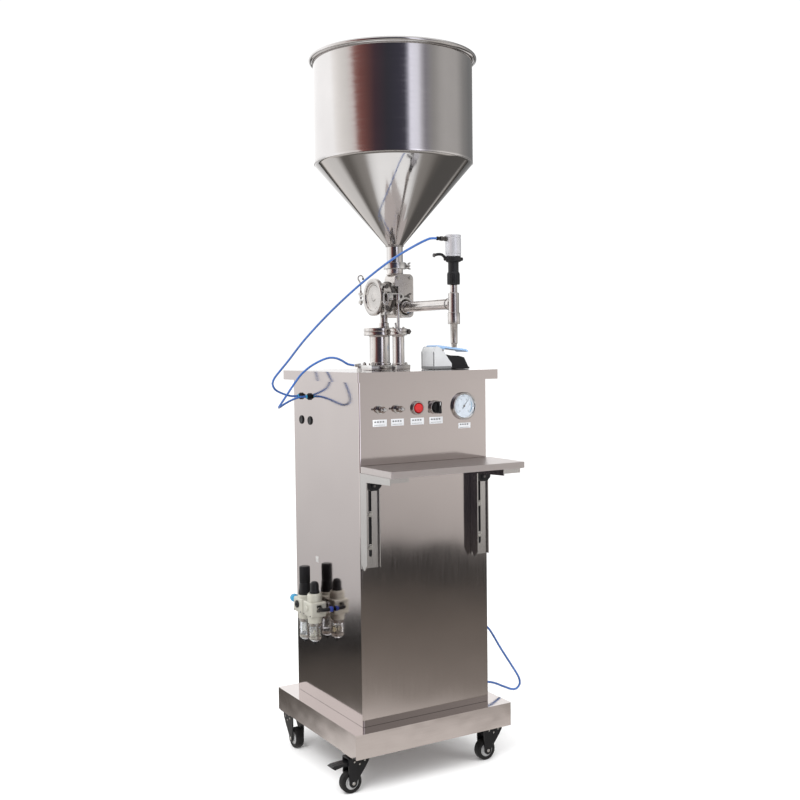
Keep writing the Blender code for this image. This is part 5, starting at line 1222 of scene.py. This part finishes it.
def make_foot_valve():
    x0, x1 = PEDAL_MID[0] - PEDAL_L / 2, PEDAL_MID[0] + PEDAL_L / 2
    floor = PLATE_Z + GAP
    pivot_x, pivot_z = PEDAL_MID[0] - 0.025, PLATE_Z + 0.0445
    inner = PEDAL_W / 2 - 0.0045
    block("foot_base_plate", spot(x0, PEDAL_MID[1] - PEDAL_W / 2, floor),
            spot(x1, PEDAL_MID[1] + PEDAL_W / 2, floor + 0.0045), "black", replaced="foot_valve_base",
            bevel=0.0012, segments=3)
    body = [(x0 + 0.002, floor + 0.004), (x1 - 0.002, floor + 0.004), (x1 - 0.014, floor + 0.0265),
            (x1 - 0.03, floor + 0.0305), (x0 + 0.046, floor + 0.0315), (x0 + 0.03, floor + 0.0345),
            (x0 + 0.002, floor + 0.0345)]
    middle = spot(0, PEDAL_MID[1], 0)
    plate("foot_body", body, PEDAL_W - 0.004, "black", middle, bevel=0.0022, limit=20)
    cowl = [(x0, floor + 0.0045), (x0 + 0.048, floor + 0.0045), (x0 + 0.048, floor + 0.013),
            (x0 + 0.04, floor + 0.0225), (x0 + 0.024, floor + 0.0445), (x0 + 0.014, floor + 0.051)]
    cowl += arc((x0 + 0.009, floor + 0.0475), 0.005, 80, 150, 5) + [(x0, floor + 0.04)]
    for side, sign in SIDES:
        plate(f"foot_cowl_{side}", cowl, 0.0036, "grey", spot(0,
                PEDAL_MID[1] + sign * (PEDAL_W / 2 - 0.0018), 0))
    back = [(x0, floor + 0.0045), (x0 + 0.0034, floor + 0.0045), (x0 + 0.0034, floor + 0.0395),
            (x0 + 0.007, floor + 0.047), (x0 + 0.0085, floor + 0.0515), (x0 + 0.0045, floor + 0.049),
            (x0, floor + 0.04)]
    plate("foot_cowl_back", back, PEDAL_W - 0.001, "grey", middle)
    block("foot_cowl_skirt", spot(x0 - 0.0006, PEDAL_MID[1] - PEDAL_W / 2 - 0.0006, floor + 0.0003),
            spot(x0 + 0.047, PEDAL_MID[1] + PEDAL_W / 2 + 0.0006, floor + 0.0072), "dark_grey",
            bevel=0.0012, segments=3)
    turned("foot_pedal_pin", pin(PEDAL_W + 0.0006, 0.003, 0.0006),
            spot(pivot_x, PEDAL_MID[1] + PEDAL_W / 2, pivot_z), FORWARD, "zinc", steps=28)
    # pedal with lugs on its pin and ribs for grip
    toe = x1 - pivot_x
    tread = [(-0.013, 0.0062), (-0.013, 0.0098), (-0.01, 0.0112), (toe - 0.006, 0.0014), (toe, -0.0022),
            (toe, -0.005), (toe - 0.003, -0.0052), (toe - 0.008, -0.0022), (0, 0.0052)]
    pivot = spot(pivot_x, PEDAL_MID[1], pivot_z)
    plate("pedal_plate", tread, 2 * inner - 0.0016, "pedal", pivot, FORWARD, "pedal", "foot_pedal", 0.0014,
            limit=25)
    lug = mm((-4.5, 7), (-5, -3), (0, -5.2), (5, -3), (11, 5))
    for side, sign in SIDES:
        plate(f"pedal_lug_{side}", lug, 0.003, "pedal", pivot + Vector((0, sign * (inner - 0.003), 0)),
                body="pedal", bevel=0.0007, segments=2)
    slope = (0.0112 - 0.0014) / (toe + 0.004)
    ribs = []
    for k in range(10):
        along = -0.006 + k * (toe - 0.008) / 9
        rise = 0.0112 - slope * (along + 0.01)
        ribs.append(((along - 0.0011, -inner + 0.005, rise - 0.0006),
                (along + 0.0011, inner - 0.005, rise + 0.0009)))
    blocks("pedal_ribs", ribs, "pedal", 0.0005, body="pedal", at=pivot)


# ---------------------------------------------------------------- casters
WHEEL_R, WHEEL_W, TRAIL = 0.024, 0.02, 0.016


def make_casters():
    headings = {("front", "left"): math.pi, ("front", "right"): math.pi, ("rear", "left"): -math.pi / 2,
            ("rear", "right"): -math.pi / 2}
    for (row, side), heading in headings.items():
        make_caster(f"{row}_{side}", CASTER_X if side == "right" else -CASTER_X, CASTER_Y[row], heading)
    x, y = -CASTER_X, CASTER_Y["front"]
    reach = 0.0665 - TRAIL
    tongue = [(-0.0055, 0.0036), (-0.0058, -0.0036), (0.006, -0.0046), (0.022, -0.0018), (0.0415, -0.0056),
            (reach - 0.0006, 0.0002), (reach - 0.008, 0.0033), (0.02, 0.0045)]
    at = spot(x - TRAIL, y, 0.0655)
    plate("brake_tongue", tongue, 0.0214, "fork", at, (math.pi / 2, 0, math.pi), "brake", "brake_pedal",
            0.0014, limit=25)
    ridges = [((-0.0261 - 0.0055 * k, -0.0085, 0.003 - 0.0001 * k),
            (-0.0239 - 0.0055 * k, 0.0085, 0.0052 - 0.0004 * k)) for k in range(4)]
    blocks("brake_grip", ridges, "fork", 0.0005, body="brake", at=at)


def make_caster(name, x, y, heading):
    body = f"caster_{name}"
    turn_z = (0, 0, heading)
    along = Vector((math.cos(heading), math.sin(heading), 0))
    across = Vector((-along.y, along.x, 0))
    top_z, race_z = 0.079, 0.0823
    swivel = spot(x, y, 0)
    race = [(0, race_z), (0.0142, race_z), (0.015, race_z - 0.0004), (0.0176, race_z - 0.0026),
            (0.018, race_z - 0.0036), (0.018, top_z - 0.001), (0, top_z - 0.001)]
    turned(f"fork_race_{name}", race, swivel, turn_z, "fork", body, f"caster_fork_{name}", 56)
    leg_y, sheet = 0.014, 0.0028
    bm = bmesh.new()
    block_into(bm, (-0.0228, -leg_y - sheet / 2, top_z - 0.003), (0.0268, leg_y + sheet / 2, top_z))
    soften_edges(bm, 0.0012, 3)
    side = [(-0.0228, top_z - 0.0006), (-0.0228, top_z - 0.01), (-0.014, top_z - 0.024),
            (TRAIL - 0.0092, WHEEL_R + 0.004)]
    side += arc((TRAIL, WHEEL_R), 0.009, 180, 360, 14)
    side += [(TRAIL + 0.01, WHEEL_R + 0.014), (0.0268, top_z - 0.014), (0.0268, top_z - 0.0006)]
    for sign in (-1, 1):
        leg = bmesh.new()
        sheet_into(leg, side, sheet)
        soften_edges(leg, 0.0007, 2, 50)
        matrix = Matrix.Translation((0, sign * leg_y, 0)) @ Matrix.Rotation(math.pi / 2, 4, "X")
        bmesh.ops.transform(leg, matrix=matrix, verts=leg.verts)
        mesh = bpy.data.meshes.new("leg")
        leg.to_mesh(mesh)
        leg.free()
        bm.from_mesh(mesh)
        bpy.data.meshes.remove(mesh)
    piece(f"fork_{name}", bm, "fork", body, swivel, turn_z)
    axle = spot(x, y, WHEEL_R) + along * TRAIL
    axle_turn = (math.pi / 2, 0, heading)
    bm = bmesh.new()
    for sign in (-1, 1):
        matrix = facing(axle + across * (sign * (leg_y + sheet / 2)), axle_turn)
        if sign > 0:
            matrix @= Matrix.Rotation(math.pi, 4, "X")
        spin_into(bm, mm((0, 1.9), (2.2, 1.9), (3.8, 1.2), (4, 0), (0, -0.4)), 24, matrix)
        for dx, z in ((-0.012, 0.0705), (0.013, 0.0705), (0.0005, 0.064)):
            rivet = facing(spot(x, y, z) + along * dx + across * (sign * (leg_y + sheet / 2)), axle_turn)
            if sign > 0:
                rivet @= Matrix.Rotation(math.pi, 4, "X")
            spin_into(bm, mm((0, 1.2), (1.4, 1.1), (2.2, 0.4), (2.2, -0.2), (0, -0.2)), 16, rivet)
    piece(f"axle_rivets_{name}", bm, "zinc", body)
    half = WHEEL_W / 2
    tyre = [(0.0152, half - 0.0012), (0.0165, half - 0.0006), (WHEEL_R - 0.0034, half),
            (WHEEL_R - 0.0012, half - 0.001), (WHEEL_R, half - 0.0036), (WHEEL_R, -half + 0.0036),
            (WHEEL_R - 0.0012, -half + 0.001), (WHEEL_R - 0.0034, -half), (0.0165, -half + 0.0006),
            (0.0152, -half + 0.0012)]
    turned(f"tyre_{name}", tyre, axle, axle_turn, "tread", f"wheel_{name}", f"caster_wheel_{name}", 72,
            0.0005)
    rim = [(0.0154, half - 0.0016), (0.0146, half - 0.0006), (0.0138, half - 0.003), (0.009, half - 0.0038),
            (0.0078, half - 0.0008), (0.0046, half - 0.0004), (0.0046, -half + 0.0004),
            (0.0078, -half + 0.0008), (0.009, -half + 0.0038), (0.0138, -half + 0.003),
            (0.0146, -half + 0.0006), (0.0154, -half + 0.0016)]
    turned(f"wheel_rim_{name}", rim, axle, axle_turn, "rim", f"wheel_{name}", steps=64, soften=0.0003)


# ---------------------------------------------------------------- surroundings and light
def ramp(tree, value, stops):
    node = tree.nodes.new("ShaderNodeValToRGB")
    elements = node.color_ramp.elements
    elements[0].position, elements[0].color = stops[0][0], (*stops[0][1], 1.0)
    elements[1].position, elements[1].color = stops[-1][0], (*stops[-1][1], 1.0)
    for position, colour in stops[1:-1]:
        element = elements.new(position)
        element.color = (*colour, 1.0)
    tree.links.new(value, node.inputs["Fac"])
    return node.outputs["Color"]


def grey(value, warm=0.0):
    return (value * (1 + warm), value, value * (1 - warm))


STUDIO_HEADING = -30.7                 # the bright and dark walls are set out from this direction
WALLS = [(-180, grey(1.25)), (-95, grey(1.3)), (-87, grey(1.12, 0.02)), (-76, grey(0.95, 0.03)),
        (-64, grey(0.84, 0.03)), (-56, (0.78, 0.7, 0.68)), (-50, (0.34, 0.17, 0.15)),
        (-44, (0.24, 0.1, 0.09)), (-34, (0.145, 0.068, 0.066)), (-25, (0.075, 0.046, 0.057)),
        (-7, (0.047, 0.046, 0.058)), (10, (0.057, 0.055, 0.075)), (17, (0.075, 0.073, 0.095)),
        (21, (0.32, 0.32, 0.38)), (25, (1.05, 1.05, 1.18)), (36, (0.95, 0.95, 1.05)),
        (42, (0.52, 0.51, 0.55)), (47, (0.28, 0.27, 0.3)), (60, grey(0.34, 0.03)), (72, grey(0.46, 0.03)),
        (80, grey(0.49, 0.03)), (103, grey(0.47, 0.03)), (120, grey(0.3, 0.02)), (139, grey(0.22)),
        (166, grey(0.21)), (174, grey(1.2)), (180, grey(1.25))]
FLOOR_FRONT = [(-90, grey(1.1)), (-69, grey(1.1)), (-65, grey(0.9)), (-61.5, grey(0.3, 0.06)),
        (-56, grey(0.26, 0.06)), (-50, grey(0.14, 0.08)), (-45, grey(0.14, 0.08)), (-32, grey(0.62, 0.05)),
        (-19.5, grey(0.8, 0.05)), (-18.0, grey(0.26, 0.1)), (-14.5, grey(0.16, 0.12)),
        (-12.9, grey(0.105, 0.1)), (-12.1, grey(0.03)), (-10.8, grey(0.03)), (-10.0, grey(0.46, 0.04)),
        (-6, grey(0.52, 0.03)), (0, grey(0.53, 0.03))]
FLOOR_SIDE = [(-90, grey(1.0)), (-60, grey(1.0)), (-50, grey(0.7, 0.02)), (-28, grey(0.8, 0.02)),
        (-20.5, grey(0.85, 0.04)), (-18.8, grey(0.14, 0.1)), (-16.5, grey(0.085, 0.1)), (-15.6, grey(0.02)),
        (-14.9, grey(0.02)), (-14.0, grey(0.12)), (-13.4, grey(0.55, 0.03)), (0, grey(0.85, 0.02))]


def make_world():
    """A studio with pale and dark walls for the steel to reflect; the backdrop itself is white."""
    world = bpy.data.worlds.new("studio")
    SCENE.world = world
    world.use_nodes = True
    tree = world.node_tree
    tree.nodes.clear()
    place = tree.nodes.new("ShaderNodeTexCoord")
    turn = tree.nodes.new("ShaderNodeMapping")
    turn.vector_type = "POINT"
    turn.inputs["Rotation"].default_value = (0, 0, math.radians(-STUDIO_HEADING + 90))
    tree.links.new(place.outputs["Generated"], turn.inputs["Vector"])
    parts = tree.nodes.new("ShaderNodeSeparateXYZ")
    tree.links.new(turn.outputs["Vector"], parts.inputs[0])

    def math_node(operation, *inputs):
        node = tree.nodes.new("ShaderNodeMath")
        node.operation = operation
        for socket, value in zip(node.inputs, inputs):
            if isinstance(value, (int, float)):
                socket.default_value = value
            else:
                tree.links.new(value, socket)
        return node.outputs[0]

    around = math_node("ARCTAN2", parts.outputs["Y"], parts.outputs["X"])
    heading = math_node("MULTIPLY_ADD", around, 1 / math.tau, 0.5)
    height = math_node("MULTIPLY_ADD", math_node("ARCSINE", parts.outputs["Z"]), 2 / math.pi, 1.0)
    level = math_node("MULTIPLY_ADD", height, 90.0, -90.0)
    slant = spread(tree, level, -9.6 / 360, 12.8 / 360, 5.0, 19.0)
    share = spread(tree, heading, 1.0, 0.0, 0.333, 0.43)
    slanted = math_node("ADD", heading, math_node("MULTIPLY", slant, share))
    walls = ramp(tree, slanted, [((angle + 180) / 360, colour) for angle, colour in WALLS])
    front = ramp(tree, height, [((angle + 90) / 90, colour) for angle, colour in FLOOR_FRONT])
    side = ramp(tree, height, [((angle + 90) / 90, colour) for angle, colour in FLOOR_SIDE])

    def mixed(factor, first, second):
        node = tree.nodes.new("ShaderNodeMix")
        node.data_type = "RGBA"
        for socket, value in zip((node.inputs[0], node.inputs[6], node.inputs[7]), (factor, first, second)):
            if isinstance(value, tuple):
                socket.default_value = (*value, 1.0)
            else:
                tree.links.new(value, socket)
        return node.outputs[2]

    behind = spread(tree, math_node("ABSOLUTE", math_node("SUBTRACT", heading, 0.5)), 0.0, 1.0, 0.3, 0.325)
    floor = mixed(behind, front, side)
    right = math_node("MULTIPLY", spread(tree, heading, 0.0, 1.0, 0.77, 0.8),
            spread(tree, heading, 1.0, 0.0, 0.885, 0.91))
    floor = mixed(right, floor, grey(0.1, 0.05))
    edge = spread(tree, behind, -10.6, -13.8, 0.0, 1.0)
    above = math_node("GREATER_THAN", level, edge)
    gain = ramp(tree, height, [((angle + 90) / 90, grey(value)) for angle,
            value in ((-10, 1.5), (-5, 1.95), (-1, 1.85), (0, 1.75))])
    near = spread(tree, level, 1.0, 0.0, 0.0, 9.0)
    brighter = tree.nodes.new("ShaderNodeVectorMath")
    brighter.operation = "MULTIPLY"
    tree.links.new(walls, brighter.inputs[0])
    tree.links.new(gain, brighter.inputs[1])
    sides = math_node("MULTIPLY", near, spread(tree, heading, 0.0, 1.0, 0.555, 0.6))
    walls = mixed(sides, walls, brighter.outputs[0])
    low_wall = spread(tree, level, 0.52, 1.0, -13.0, 10.0)
    dimmed = mixed(low_wall, grey(0.0), walls)
    walls = mixed(behind, walls, dimmed)
    room = mixed(above, floor, walls)
    ceiling = spread(tree, level, 0.0, 1.0, 40.0, 55.0)
    room = mixed(ceiling, room, grey(0.95))
    rays = tree.nodes.new("ShaderNodeLightPath")
    plain = math_node("MAXIMUM", rays.outputs["Is Camera Ray"], rays.outputs["Is Transmission Ray"])
    shown = mixed(plain, room, grey(1.06))
    soft = mixed(rays.outputs["Is Diffuse Ray"], shown, grey(0.8))
    background = tree.nodes.new("ShaderNodeBackground")
    tree.links.new(soft, background.inputs["Color"])
    output = tree.nodes.new("ShaderNodeOutputWorld")
    tree.links.new(background.outputs[0], output.inputs["Surface"])


def make_light(name, at, aim, size, power, colour=(1, 1, 1)):
    data = bpy.data.lights.new(name, "AREA")
    data.shape = "RECTANGLE"
    data.size, data.size_y = size
    data.energy = power
    data.color = colour
    obj = bpy.data.objects.new(name, data)
    SCENE.collection.objects.link(obj)
    obj.location = at
    obj.rotation_euler = (Vector(aim) - Vector(at)).to_track_quat("-Z", "Y").to_euler()
    obj.visible_glossy = False
    return obj


def make_studio():
    make_world()
    bm = bmesh.new()
    bmesh.ops.create_circle(bm, cap_ends=True, segments=96, radius=30.0)
    mesh = bpy.data.meshes.new("floor")
    bm.to_mesh(mesh)
    bm.free()
    floor = bpy.data.objects.new("floor", mesh)
    SCENE.collection.objects.link(floor)
    floor.data.materials.append(MATERIALS["floor"])
    floor.visible_glossy = False
    make_light("key", (-2.2, -1.6, 2.6), (0, 0, 0.7), (1.6, 1.6), 70)
    make_light("fill", (2.0, -2.2, 1.8), (0, 0, 0.7), (1.6, 1.6), 28)
    data = bpy.data.lights.new("sun", "SUN")
    data.energy = 1.5
    data.angle = math.radians(60)
    sun = bpy.data.objects.new("sun", data)
    SCENE.collection.objects.link(sun)
    sun.rotation_euler = (math.radians(12), math.radians(-10), 0)
    sun.visible_glossy = False
    SCENE.view_settings.view_transform = "Standard"


make_camera()
make_hoses()
make_cabinet()
make_hopper()
make_hopper_clamp()
make_valve()
make_metering()
make_actuator()
make_outlet()
make_nozzle()
make_air_unit()
make_shelf_details()
make_controls()
make_bulkheads()
make_foot_valve()
make_casters()
make_studio()
